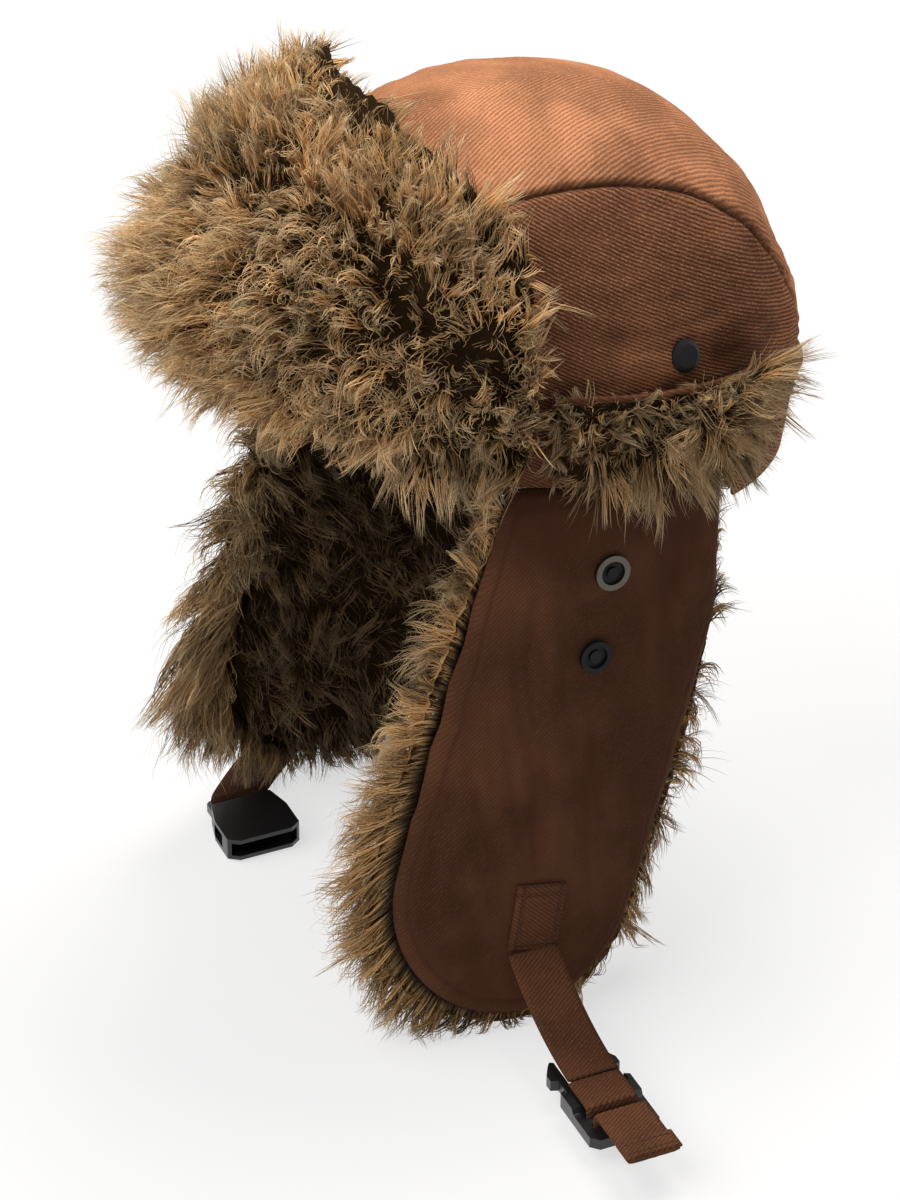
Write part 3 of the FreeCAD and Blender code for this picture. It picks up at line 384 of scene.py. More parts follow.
def mesh_object(name, points, faces, finish, body, uv=None):
    """One piece from points and faces. uv has the cloth coordinates of each point, in metres, and is
    left out where the finish doesn't read them."""
    mesh = bpy.data.meshes.new(name)
    points = np.asarray(points, np.float32)
    uv = np.zeros((len(points), 2)) if uv is None else uv
    face_sizes = np.array([len(face) for face in faces], np.int32)
    corners = np.concatenate([np.asarray(face, np.int32) for face in faces])
    mesh.vertices.add(len(points))
    mesh.vertices.foreach_set("co", points.ravel())
    mesh.loops.add(len(corners))
    mesh.loops.foreach_set("vertex_index", corners)
    mesh.polygons.add(len(faces))
    starts = np.concatenate([[0], np.cumsum(face_sizes)[:-1]]).astype(np.int32)
    mesh.polygons.foreach_set("loop_start", starts)
    mesh.polygons.foreach_set("use_smooth", np.ones(len(faces), bool))
    mesh.update(calc_edges=True)
    layer = mesh.uv_layers.new(name="cloth")
    layer.data.foreach_set("uv", np.asarray(uv, np.float32)[corners].ravel())
    mesh.validate()
    return new_piece(name, mesh, finish, body)


def new_piece(name, mesh, finish, body):
    """A mesh as a piece of the hat, riding on a body."""
    obj = bpy.data.objects.new(name, mesh)
    bpy.context.scene.collection.objects.link(obj)
    mesh.materials.append(material(finish))
    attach(obj, body)
    return obj


def grid_faces(rows, columns, wrap=False, flip=False):
    """Quads of a grid of points stored row by row."""
    faces = []
    for i in range(rows - 1):
        for j in range(columns if wrap else columns - 1):
            k = (j + 1) % columns
            quad = [i * columns + j, i * columns + k, (i + 1) * columns + k, (i + 1) * columns + j]
            faces.append(quad[::-1] if flip else quad)
    return faces


def set_value(obj, name, values):
    """A number for each point of a cloth piece, read by its material."""
    attribute = obj.data.attributes.new(name, "FLOAT", "POINT")
    attribute.data.foreach_set("value", np.asarray(values, np.float32))


def set_painted_shade(obj, values):
    """How much painted shade darkens each point of a cloth piece."""
    set_value(obj, "painted_shade", values)


def rumple(points, scale, stretch=(1, 1, 1), seed=0.0):
    """Soft noise from -1 to 1 at each point."""
    scaled = np.asarray(points) * np.asarray(stretch) * scale + seed
    return np.array([noise.fractal(Vector(p), 0.7, 2.1, 3) for p in scaled])


def node_tree(*names):
    """Search tree over the surface of some CAD nodes."""
    points, faces = [], []
    for name in names:
        mesh = NODES[name].data
        first = len(points)
        points.extend(v.co.copy() for v in mesh.vertices)
        faces.extend([first + i for i in p.vertices] for p in mesh.polygons)
    return BVHTree.FromPolygons(points, faces)


def smoothstep(x, low, high):
    """0 below low, 1 above high and smooth from one to the other."""
    t = np.clip((np.asarray(x, float) - low) / (high - low), 0, 1)
    return t * t * (3 - 2 * t)


def bell(x, middle, width):
    """1 at the middle, falling to nothing over a few widths."""
    return np.exp(-(((x - middle) / width) ** 2))


# ------------------------------------------------------------------ fur


def normalised(vectors):
    return vectors / np.maximum(np.linalg.norm(vectors, axis=-1, keepdims=True), 1e-9)


def bilinear(grid, u, v):
    """Points of a grid of rows and columns at u along the columns and v along the rows, 0 to 1."""
    rows, columns = grid.shape[:2]
    y = np.clip(v, 0, 1) * (rows - 1.001)
    x = np.clip(u, 0, 1) * (columns - 1.001)
    i, j = y.astype(int), x.astype(int)
    a, b = (y - i)[:, None], (x - j)[:, None]
    low = grid[i, j] * (1 - b) + grid[i, j + 1] * b
    high = grid[i + 1, j] * (1 - b) + grid[i + 1, j + 1] * b
    return low * (1 - a) + high * a


def grid_area(grid):
    """Area of each cell of a grid of points."""
    across = grid[:-1, 1:] - grid[:-1, :-1]
    up = grid[1:, :-1] - grid[:-1, :-1]
    return np.linalg.norm(np.cross(across, up), axis=-1)


# a lock's width at each of its sections, from its root to just before its tip
LOCK_PROFILE = (0.8, 1.0, 1.0, 0.9, 0.74, 0.55, 0.33)
SECTIONS = len(LOCK_PROFILE)
# a lock's depth as a share of its width
LOCK_FLATNESS = 0.6


def lock_pattern():
    """Triangles of one closed lock with three sides."""
    pattern = [(0, 2, 1)]
    for k in range(SECTIONS - 1):
        for m in range(3):
            n = (m + 1) % 3
            a, b, c, d = 3 * k + m, 3 * k + n, 3 * k + 3 + n, 3 * k + 3 + m
            pattern += [(a, b, c), (a, c, d)]
    last = 3 * (SECTIONS - 1)
    pattern += [(last, last + 1, last + 3), (last + 1, last + 2, last + 3), (last + 2, last, last + 3)]
    return np.array(pattern)


def lock_mesh(name, locks, finish, body):
    """Tapering locks, each curving from its root past its bend to its tip and winding as it goes."""
    root, bend, tip = locks["root"], locks["bend"], locks["tip"]
    count = len(root)
    line = normalised(tip - root)
    side = normalised(np.cross(line, locks["twist"]))
    other = np.cross(line, side)
    phase, turns, curl = locks["phase"], locks["turns"], locks["curl"]
    per_lock = SECTIONS * 3 + 1
    points = np.zeros((count, per_lock, 3), np.float32)
    uv = np.zeros((count, per_lock, 2), np.float32)
    uv[:, :, 0] = locks["tone"][:, None]
    for k, t in enumerate(np.linspace(0, 1, SECTIONS + 1)):
        centre = (1 - t) ** 2 * root + 2 * t * (1 - t) * bend + t * t * tip
        angle = 2 * math.pi * turns * t + phase
        swirl = side * (np.cos(angle) - np.cos(phase))[:, None]
        swirl += other * (np.sin(angle) - np.sin(phase))[:, None]
        # the winding opens out along the lock
        centre = centre + (curl * t * (1.2 - 0.5 * t))[:, None] * swirl
        if k == SECTIONS:
            points[:, -1] = centre
            uv[:, -1, 1] = 1.0
            break
        half = (0.5 * locks["width"] * LOCK_PROFILE[k])[:, None]
        uv[:, 3 * k : 3 * k + 3, 1] = t
        for m in range(3):
            turn = 2 * math.pi * m / 3
            flat = half * math.sin(turn) * LOCK_FLATNESS
            points[:, 3 * k + m] = centre + side * (half * math.cos(turn)) + other * flat
    first = (np.arange(count) * per_lock)[:, None, None]
    faces = (lock_pattern()[None] + first).reshape(-1, 3)
    return fast_mesh(name, points.reshape(-1, 3), faces, uv.reshape(-1, 2), finish, body)


def fast_mesh(name, points, triangles, uv, finish, body):
    """A piece made only of triangles, too many for a Python list."""
    mesh = bpy.data.meshes.new(name)
    mesh.vertices.add(len(points))
    mesh.vertices.foreach_set("co", np.ascontiguousarray(points, np.float32).ravel())
    mesh.loops.add(3 * len(triangles))
    corners = np.ascontiguousarray(triangles, np.int32).ravel()
    mesh.loops.foreach_set("vertex_index", corners)
    mesh.polygons.add(len(triangles))
    mesh.polygons.foreach_set("loop_start", np.arange(0, 3 * len(triangles), 3, dtype=np.int32))
    mesh.polygons.foreach_set("use_smooth", np.ones(len(triangles), bool))
    mesh.update(calc_edges=True)
    layer = mesh.uv_layers.new(name="OFBake")
    layer.data.foreach_set("uv", uv[corners].astype(np.float32).ravel())
    return new_piece(name, mesh, finish, body)


# share of a coat's locks that are long stray wisps
STRAYS = 0.18
LOCKS_PER_PIECE = 4900
# how far tips may stand past the solids' box, and the share of what is past it that bends back
BOX_SLACK = 6 * MM
BENT_BACK = 0.75


def held_in(tips):
    """Tips that bend back where they leave the solids' box by more than a little, and lie on the floor."""
    low, high = (np.array(corner) for corner in CAD_BOX)
    over = np.maximum(tips - high - BOX_SLACK, 0)
    under = np.maximum(low - BOX_SLACK - tips, 0)
    tips = tips - BENT_BACK * over + BENT_BACK * under
    tips[:, 2] = np.maximum(tips[:, 2], low[2] + 1.5 * MM)
    return tips


class Pelt:
    """A patch of backing and the outer limit of its pile, as two matching grids of points."""

    def __init__(self, name, body, roots, limits, seed, finish="fur", closed=False):
        self.name = name
        self.body = body
        self.roots = roots
        self.limits = limits
        self.rng = np.random.default_rng(seed)
        self.finish = finish
        self.closed = closed
        self.pieces = []

    def sample(self, count):
        """Random places, spread by the area that the limit covers and a little by the backing's."""
        area = grid_area(self.limits) + 0.3 * grid_area(self.roots)
        share = np.cumsum(area.ravel()) / area.sum()
        cell = np.searchsorted(share, self.rng.random(count))
        rows, columns = area.shape
        v = (cell // columns + self.rng.random(count)) / rows
        u = (cell % columns + self.rng.random(count)) / columns
        return np.clip(u, 0, 1), np.clip(v, 0, 1)

    def under_layer(self, comb, depth, finish):
        """Matted under-fur that hides the backing and thins to nothing at the two ends."""
        rows, columns = self.roots.shape[:2]
        v, u = np.meshgrid(np.linspace(0, 1, rows), np.linspace(0, 1, columns), indexing="ij")
        share = comb(u.ravel(), v.ravel())[1].reshape(rows, columns) * depth
        if not self.closed:
            share = share * (0.15 + 0.85 * smoothstep(np.minimum(u, 1 - u), 0.0, 0.07))
        points = self.roots + (self.limits - self.roots) * share[..., None]
        flat = points.reshape(-1, 3)
        out = normalised((self.limits - self.roots).reshape(-1, 3))
        flat = flat + out * (1.2 * MM * rumple(flat, 220.0))[:, None]
        faces = grid_faces(rows, columns)
        self.pieces.append(mesh_object(f"{self.name}_under", flat, faces, finish, self.body))

    def gather(self, base, tip, size_of_group, pull, swing):
        """Draw the tips of neighbouring locks together, and give each group its own swing. Returns each
        lock's group, how many groups there are, and the tips."""
        count = len(base)
        groups = max(6, count // size_of_group)
        chosen = self.rng.choice(count, groups, replace=False)
        tree = KDTree(groups)
        for i, index in enumerate(chosen):
            tree.insert(base[index], i)
        tree.balance()
        group = np.array([tree.find(point)[1] for point in base])
        # a lock keeps some of its own distance from the group's leader
        goal = tip[chosen][group] + 0.35 * (base - base[chosen][group])
        goal = goal + (self.rng.normal(size=(groups, 3)) * swing)[group]
        share = np.clip(pull * self.rng.uniform(0.6, 1.3, (count, 1)), 0, 0.94)
        return group, groups, tip + (goal - tip) * share

    def grow(self, count, comb, start=0.35, reach=1.0, clump=1.0, width=1.0, curl=1.0, tag="locks"):
        """Locks from the start's share of the pile to its limit. comb(u, v) gives how far the tips are
        swept, in metres, and the share of the pile's height that they reach. Locks are drawn together
        in wisps, and wisps in tufts."""
        rng = self.rng
        u, v = self.sample(count)
        root = bilinear(self.roots, u, v)
        limit = bilinear(self.limits, u, v)
        sweep, height = comb(u, v)
        pile = (limit - root) * height[:, None]
        # short locks curl less
        slack = np.clip(np.linalg.norm(pile, axis=1, keepdims=True) / (20 * MM), 0.3, 1.2)
        base = root + pile * start
        tip = root + pile * reach * rng.uniform(0.78, 1.12, (count, 1))
        tip = tip + sweep * rng.uniform(0.5, 1.3, (count, 1))
        tip += rng.normal(size=(count, 3)) * 1.3 * MM
        tuft, tufts, tip = self.gather(base, tip, 46, 0.5 * clump, 8.0 * MM)
        wisp, wisps, tip = self.gather(base, tip, 6, 0.74 * clump, 5.0 * MM)
        tip = held_in(tip)
        bend = base + pile * (1 - start) * rng.uniform(0.5, 0.95, (wisps, 1))[wisp] + (tip - base) * 0.2
        tone = 0.4 * rng.random(tufts)[tuft] + 0.45 * rng.random(wisps)[wisp]
        tone = tone + 0.15 * rng.random(count)
        locks = {
            "root": base,
            "bend": bend,
            "tip": tip,
            "twist": rng.normal(size=(wisps, 3))[wisp] + 0.25 * rng.normal(size=(count, 3)),
            "phase": rng.uniform(0, 2 * math.pi, wisps)[wisp] + rng.normal(size=count) * 0.35,
            "turns": rng.uniform(0.4, 1.2, wisps)[wisp] * rng.uniform(0.9, 1.1, count),
            "curl": sizes().lock_curl * curl * rng.uniform(0.3, 1.6, wisps)[wisp] * slack[:, 0],
            "width": sizes().lock_width * width * rng.uniform(0.6, 1.45, count),
            "tone": np.clip((tone - 0.5) * 1.7 + 0.5, 0.01, 0.99),
        }
        parts = max(1, math.ceil(count / LOCKS_PER_PIECE))
        for k, part in enumerate(np.array_split(np.argsort(u), parts)):
            chosen = {key: values[part] for key, values in locks.items()}
            piece = lock_mesh(f"{self.name}_{tag}_{k + 1}", chosen, self.finish, self.body)
            self.pieces.append(piece)

    def coat(self, comb, density=1.0, start=0.35, curl=1.0, depth=0.62, under="pelt"):
        """Matted under-fur, the coat over it and some longer stray wisps."""
        self.under_layer(comb, depth, under)
        total = count_locks(self.limits, density)
        self.grow(int(total * (1 - STRAYS)), comb, start, curl=curl)
        self.grow(
            int(total * STRAYS), comb, start, reach=1.24, clump=0.5, width=0.55, curl=1.7 * curl, tag="wisps"
        )


def count_locks(grid, share=1.0):
    """How many locks cover a grid at the density set."""
    square_cm = grid_area(grid).sum() * 1e4
    density = sizes().lock_count * share
    return int(square_cm * density)


# ------------------------------------------------------------------ shapes round the crown

HALF_WIDTH = 94.5 * MM
HALF_DEPTH = 111.5 * MM
CROWN_RISE = 115.5 * MM
# the steeper dome that the turned-up pieces follow, and how far outside the crown it lies
TURNUP_RISE = 165 * MM
TURNUP_OUT = 1.4 * MM
# a dome so tall that its lower part is an upright wall
UPRIGHT = 100.0


def whole(azimuth):
    """A cap that leaves a turned-up piece its full height at every azimuth."""
    return 1.0


def rim_points(points):
    """Points in the hat's frame from points in the rim's frame."""
    return np.asarray(points) @ RIM_TURN.T


def dome_grid(rows, columns, outset=0.0):
    """Points of the crown's dome in the rim's frame, row by row from the rim to the top."""
    a, b, c = HALF_WIDTH + outset, HALF_DEPTH + outset, CROWN_RISE + outset
    points = []
    for i in range(rows):
        rise = 0.5 * math.pi * i / (rows - 1)
        level = math.cos(rise)
        for j in range(columns):
            azimuth = 2 * math.pi * j / columns
            points.append((a * level * math.cos(azimuth), b * level * math.sin(azimuth), c * math.sin(rise)))
    return np.array(points)


def level_point(azimuth, height, outset=0.0, top=TURNUP_RISE):
    """Point of a dome at an azimuth and a height over the rim."""
    a, b = HALF_WIDTH + outset, HALF_DEPTH + outset
    level = math.sqrt(max(0.0, 1 - (height / (top + outset)) ** 2))
    return (a * level * math.cos(azimuth), b * level * math.sin(azimuth), height)


def column_span(tree, azimuth, low=0.0, high=115 * MM, step=1.5 * MM):
    """Lowest and highest place where a node is met at an azimuth, in the rim's frame."""
    found = []
    for k in range(int((high - low) / step) + 1):
        height = low + k * step
        inner = Vector(level_point(azimuth, height, -30 * MM))
        outer = Vector(level_point(azimuth, height, 120 * MM))
        start = RIM @ outer
        hit = tree.ray_cast(start, (RIM @ inner) - start, (outer - inner).length)
        if hit[0] is not None:
            found.append(height)
    return (found[0], found[-1]) if found else None


def column_spans(tree, first, last, columns):
    """Azimuths between two, in degrees, at which a node is met, with its lowest and highest place."""
    spans = []
    for azimuth in np.radians(np.linspace(first, last, columns)):
        span = column_span(tree, azimuth)
        if span:
            spans.append((azimuth, *span))
    return spans


def turned_up(
    fur, body, first, last, seed, fans, out, columns=96, least=4 * MM, most=60 * MM, cap=whole,
    name=None, finish="fur",
):
    """Backing and outer limit of a turned-up piece's fur, between two azimuths in degrees. Each fan is
    a share of the height and the locks' angle over level there. cap gives the share of the node's
    height that the fur reaches at an azimuth."""
    tree = node_tree(fur)
    spans = column_spans(tree, first, last, columns)
    # the backing stops this far short of the node's lower and upper edge
    below, above = 2 * MM, 4 * MM
    roots, limits = [], []
    for share, fan in fans:
        lift = math.radians(fan)
        for azimuth, low, high in spans:
            kept = cap(math.degrees(azimuth))
            height = low + below + (kept * high - low - below - above) * share
            root = Vector(level_point(azimuth, height, out))
            way = Vector((math.cos(azimuth), math.sin(azimuth), 0)) * math.cos(lift)
            way.z = math.sin(lift)
            hit = tree.ray_cast(RIM @ (root + way * 90 * MM), (RIM.to_3x3() @ way) * -1, 89.5 * MM)
            reach = (hit[0] - (RIM @ root)).length if hit[0] is not None else 0.0
            roots.append(root)
            limits.append(root + way * max(min(reach, most * kept**1.5), least))
    shape = (len(fans), len(spans), 3)
    roots = rim_points([tuple(point) for point in roots]).reshape(shape)
    limits = rim_points([tuple(point) for point in limits]).reshape(shape)
    return Pelt(name or fur, body, roots, limits, seed, finish)


def wrapped_slab(name, node, first, last, columns, inner, outer, body, finish, cap=whole):
    """Closed stiffened cloth that follows the upright dome between two azimuths in degrees."""
    rows = 14
    spans = column_spans(node_tree(node), first, last, columns)
    count = len(spans)
    points, uv = [], []
    for outset, order in ((outer, range(rows)), (inner, range(rows - 1, -1, -1))):
        for k in order:
            for azimuth, low, high in spans:
                top = high * cap(math.degrees(azimuth))
                height = low + (top - low) * k / (rows - 1)
                points.append(level_point(azimuth, height, outset))
                uv.append((azimuth * HALF_WIDTH, height))
    faces = grid_faces(2 * rows, count)
    # both ends, and the lower edge
    for k in range(rows - 1):
        row, mate = k * count, (2 * rows - 1 - k) * count
        faces.append([row, row + count, mate - count, mate])
    for k in range(rows - 1):
        row, mate = (k + 1) * count - 1, (2 * rows - k) * count - 1
        faces.append([row + count, row, mate, mate - count])
    last_row = (2 * rows - 1) * count
    faces += [[last_row + j, last_row + j + 1, j + 1, j] for j in range(count - 1)]
    piece = mesh_object(name, rim_points(points), faces, finish, body, uv)
    set_painted_shade(piece, np.zeros(len(points)))
    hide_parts(node)
    return piece


# ------------------------------------------------------------------ crown


def seam_distance(points):
    """Distance in plan from the crown's two front-to-back seams, positive inside the top panel."""
    # the panel's half width, and how much narrower it is at the front and back
    half, taper = 51 * MM, 15 * MM
    radius = (taper**2 + HALF_DEPTH**2) / (2 * taper)
    inset = radius - np.sqrt(radius**2 - points[:, 1] ** 2)
    return half - inset - np.abs(points[:, 0])


class HAT_OT_crown(bpy.types.Operator):
    """Three-panel twill crown with its seams, band and puckers"""

    bl_idname = "hat.crown"
    bl_label = "Crown"

    def execute(self, context):
        rows, columns = 130, 300
        points = dome_grid(rows, columns)
        height = points[:, 2]
        outward = normalised(points / np.array([HALF_WIDTH**2, HALF_DEPTH**2, CROWN_RISE**2]))
        seam = seam_distance(points)
        along = rumple(points, 95.0, (0.6, 1.6, 1.6), 3.0)
        near = bell(seam + 0.5 * MM * along, 0, 0.8 * MM)
        pinch = bell(seam, 0, 9 * MM)
        broad = rumple(points, 24.0, (1, 1, 1), 7.0)
        # the cloth folds most near the band, and hardly at the top
        where = 0.35 * (1 - smoothstep(height, 70 * MM, 110 * MM)) + (1 - smoothstep(height, 20 * MM, 75 * MM))
        folds = rumple(points, 34.0, (0.9, 0.45, 1.9), 12.0) * where
        lift = sizes().pucker * (0.7 * broad + 1.3 * folds + 0.45 * along * pinch)
        # the top panel stands over the seam allowance beside each seam
        lift += 1.0 * MM * smoothstep(seam, 0.3 * MM, 1.6 * MM) * (1 - smoothstep(seam, 6 * MM, 16 * MM))
        lift -= sizes().seam_depth * near
        # the band round the rim is a second layer
        lift += 0.8 * MM * (1 - smoothstep(height, 19 * MM, 21 * MM))
        lift *= smoothstep(height, -2 * MM, 14 * MM)
        raised = points + outward * lift[:, None]
        # the side panels are cut on another grain from the top one
        uv = np.zeros((len(points), 2))
        uv[:, 0] = points[:, 1]
        uv[:, 1] = np.where(seam < 0, height * 1.15, np.abs(points[:, 0]) * 0.9 + 0.02)
        faces = grid_faces(rows, columns, True)
        crown = mesh_object("crown_cloth", rim_points(raised), faces, "crown_twill", "crown", uv)
        # painted shade in the hollows of the folds, along the seams and round the band near the rim
        dip = np.clip(-(1.1 * folds + 0.35 * broad), 0, 1) * 0.9
        shade = 0.7 * (1 - smoothstep(height, 10 * MM, 26 * MM))
        set_painted_shade(crown, np.clip(0.95 * near + dip + shade, 0, 1))
        # painted light: marked fully on the top panel inside the seams and a little on the sides, as lit from
        # above
        set_value(crown, "painted_top_light", 0.12 + 0.88 * smoothstep(seam, -1 * MM, 1 * MM))
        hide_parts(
            "crown_top_panel", "crown_side_panel_left", "crown_side_panel_right",
            "crown_wadding", "crown_band",
        )
        self.lining()
        return {"FINISHED"}

    def lining(self):
        """Softly rumpled lining and the sweatband that closes it to the rim."""
        rows, columns = 50, 120
        points = dome_grid(rows, columns, -5.8 * MM)
        points -= normalised(points) * (0.9 * MM * (1 + rumple(points, 60.0)))[:, None]
        faces = grid_faces(rows, columns, True, True)
        lining = mesh_object("crown_lining_cloth", rim_points(points), faces, "lining", "crown")
        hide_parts("crown_lining")
        ring = []
        # the sweatband's outset and height, in millimetres, from the rim round to its upper edge
        profile = ((0.0, 0.0), (-3.0, -0.4), (-6.2, 0.4), (-7.4, 2.0), (-7.4, 26.0), (-6.6, 28.0), (-5.8, 27.0))
        for outset, height in profile:
            for j in range(columns):
                azimuth = 2 * math.pi * j / columns
                ring.append(level_point(azimuth, height * MM, outset * MM, CROWN_RISE))
        faces = grid_faces(len(profile), columns, True, True)
        band = mesh_object("sweatband_cloth", rim_points(ring), faces, "lining", "crown")
        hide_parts("sweatband")


# ------------------------------------------------------------------ visor, ear covers and neck flap


# ends of the visor's fur and of its cloth, as azimuths in degrees
VISOR_ENDS = (-167, -13)
VISOR_CLOTH_ENDS = (-163, -17)
UP = RIM_TURN @ np.array([0, 0, 1])


def visor_cap(azimuth):
    """Share of its height that the visor keeps: it is pressed down towards the far end."""
    return 1 - 0.6 * float(smoothstep(-azimuth, 115, 162))


def visor_comb(u, v):
    """An upper lobe combed up and a lower roll combed out, parted by a groove."""
    parting = 0.44 + 0.28 * bell(u, 0.67, 0.14)
    lobe = smoothstep(v, parting, parting + 0.12)
    ends = 0.2 + 0.8 * smoothstep(u, 0.0, 0.22) * smoothstep(1 - u, 0.0, 0.2)
    rise = (lobe * 8 * MM - (1 - lobe) * 3 * MM) * ends
    drift = np.sin(41 * u + 3 * np.sin(9 * v)) * 4 * MM
    sweep = rise[:, None] * UP + drift[:, None] * np.array([0.8, 0.3, 0.1])
    groove = bell(v, parting, 0.065) * (0.15 + 0.45 * smoothstep(u, 0.4, 0.62))
    # locks hang over the ear cover's front corner
    hanging = (1 - smoothstep(v, 0.0, 0.3)) * smoothstep(u, 0.74, 0.9) * 13 * MM
    sweep = sweep - hanging[:, None] * UP
    # and stand out over the brow
    azimuth = np.radians(VISOR_ENDS[0] + (VISOR_ENDS[1] - VISOR_ENDS[0]) * u)
    brow = (1 - smoothstep(v, 0.05, 0.5)) * bell(azimuth, -1.95, 0.55) * 12 * MM
    outward = np.stack([np.cos(azimuth), np.sin(azimuth), -0.35 + 0 * u], -1)
    return sweep + brow[:, None] * outward, (1 - groove) * (0.72 + 0.28 * ends)


def straight_comb(x, y, z, wave=0.0, wobble=0.0):
    """A comb that sweeps every lock the same way, in millimetres, with a drift to and fro along Y that
    waves over the pelt."""

    def comb(u, v):
        drift = np.sin(wave * u + wobble * v)[:, None] * np.array([[0, y * MM, 0]])
        return drift + np.array([[x * MM, 0.0, z * MM]]), np.ones(len(u))

    return comb


class HAT_OT_visor(bpy.types.Operator):
    """Turned-up visor: cloth shell and two rolls of long fur"""

    bl_idname = "hat.visor"
    bl_label = "Visor"

    def execute(self, context):
        out = TURNUP_OUT + 2.4 * MM
        wrapped_slab(
            "visor_cloth", "visor_shell", *VISOR_CLOTH_ENDS, 90, TURNUP_OUT, out, "front_visor", "crown_twill",
            cap=visor_cap,
        )
        # locks hang at the lower edge, lie level in the middle and stand at the top
        fans = [(k / 16, -20 + 76 * (k / 16) ** 0.9) for k in range(17)]
        fans += [(1.0 + 0.04 * k, 62 + 14 * k) for k in range(1, 5)]
        pelt = turned_up(
            "visor_fur", "front_visor", *VISOR_ENDS, 11, fans, out, least=7 * MM, most=42 * MM, cap=visor_cap
        )
        pelt.coat(visor_comb, start=0.15, curl=1.15)
        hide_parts("visor_fur")
        # painted light: locks along the top edge next to the crown are painted pale, as catching the light
        fans = [(0.8 + 0.05 * k, 58 + 14 * k) for k in range(6)]
        edge = turned_up(
            "visor_fur", "front_visor", -78, -30, 12, fans, out, 50, 9 * MM, 30 * MM, visor_cap,
            "visor_fur_edge", "lit_edge_fur",
        )

        def comb(u, v):
            return np.tile(3 * MM * UP, (len(u), 1)), np.ones(len(u))

        edge.grow(count_locks(edge.limits, 1.9), comb, start=0.1, reach=1.1)
        return {"FINISHED"}


class HAT_OT_ear_covers(bpy.types.Operator):
    """Ear covers, turned up against the crown with their fur outside"""

    bl_idname = "hat.ear_covers"
    bl_label = "Ear covers"

    def execute(self, context):
        out = TURNUP_OUT + 2.2 * MM
        fans = [(k / 11, -50 + 108 * k / 11) for k in range(12)]

        def cap(azimuth):
            """The locks' roots stop short of the shell's upper edge."""
            return 0.8

        for side, first, last, seed in (("left", -18, 33, 31), ("right", 147, 198, 32)):
            body = f"ear_cover_{side}"
            shell = f"ear_cover_shell_{side}"
            cloth = f"ear_cover_cloth_{side}"
            # the ear covers' cloth is painted darker, as shade
            wrapped_slab(cloth, shell, first, last, 60, TURNUP_OUT, out, body, "shaded_edge_twill")
            pelt = turned_up(
                f"ear_cover_fur_{side}", body, first, last, seed, fans, out, 60, 7 * MM, cap=cap,
                finish="shaded_fur",
            )
            toward_front = 1 if side == "right" else 0

            def comb(u, v):
                """Tangled locks that hang over the lower edge, thin at the upper front corner."""
                drift = np.sin(23 * u + 5 * v)[:, None] * np.array([[0.2, 0.9, 0.4]]) * 5 * MM
                low = 1 - smoothstep(v, 0.1, 0.8)
                front = 1 - np.abs(u - toward_front)
                sweep = drift + (low * 17 * MM)[:, None] * np.array([[0.1, 0, -1.0]])
                sweep[:, 1] += smoothstep(1 - front, 0.6, 1.0) * 12 * MM
                corner = smoothstep(front + 0.8 * v, 0.8, 1.0)
                return sweep * (1 - 0.7 * corner[:, None]), 1 - 0.95 * corner

            pelt.coat(comb, 1.6, start=0.1, curl=1.5, depth=0.5)
            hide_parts(f"ear_cover_fur_{side}")
        return {"FINISHED"}


class HAT_OT_neck_flap(bpy.types.Operator):
    """Short flap at the nape, twill outside and fur inside"""

    bl_idname = "hat.neck_flap"
    bl_label = "Neck flap"

    def execute(self, context):
        reach = math.degrees(math.asin(61 * MM / (HALF_DEPTH + 0.8 * MM)))
        azimuths = np.radians(np.linspace(reach, 180 - reach, 90))
        # the cloth's outset and height, in millimetres, round the hem from outside to inside
        profile = ((0.8, -0.4), (0.9, -9), (0.8, -16.8), (0.2, -18), (-0.8, -18), (-1.4, -16.8), (-1.4, -0.4))
        points, uv = [], []
        for outset, height in profile:
            for azimuth in azimuths:
                points.append(level_point(azimuth, height * MM, outset * MM, UPRIGHT))
                uv.append((azimuth * HALF_DEPTH, height * MM))
        faces = grid_faces(len(profile), len(azimuths))
        count = len(azimuths)
        faces.append([k * count for k in range(len(profile))])
        faces.append([k * count + count - 1 for k in range(len(profile))][::-1])
        last = (len(profile) - 1) * count
        faces += [[last + j, last + j + 1, j + 1, j] for j in range(count - 1)]
        cloth = mesh_object(
            "neck_flap_cloth", rim_points(points), faces, "crown_twill", "neck_flap", uv
        )
        set_painted_shade(cloth, np.zeros(len(points)))
        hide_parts("neck_flap_shell")
        roots, limits = [], []
        rows = 6
        for share in np.linspace(0, 1, rows):
            height = -(1.5 + 15 * share) * MM
            for azimuth in azimuths[::3]:
                roots.append(level_point(azimuth, height, -1.6 * MM, UPRIGHT))
                limits.append(level_point(azimuth, height - 4 * MM * share**2, -8.5 * MM, UPRIGHT))
        roots, limits = (rim_points(grid).reshape((rows, -1, 3)) for grid in (roots, limits))
        pelt = Pelt("neck_flap_fur", "neck_flap", roots, limits, 33)
        pelt.coat(straight_comb(0, 0, -3), 0.8, start=0.2)
        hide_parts("neck_flap_fur")
        return {"FINISHED"}


# ------------------------------------------------------------------ earflaps

FLAP_LENGTH = 205 * MM
# a flap bends round the ear less and less towards its lower end, and leans forward
FLAP_TOP_RADIUS = 130 * MM
FLAP_LOW_RADIUS = 240 * MM
FLAP_LEAN = 48 * MM
FLAP_APEX = 96 * MM
FLAP_THICK = 4.6 * MM
FLAP_PILE = 18 * MM
# middle of the flap's side view, which its outline goes round
FLAP_MIDDLE = np.array([-0.022, -0.098])
# how far each flap has swung out, in degrees
FLARE = {"left": 7, "right": -6}
MIRRORED = np.array([-1, 1, 1])


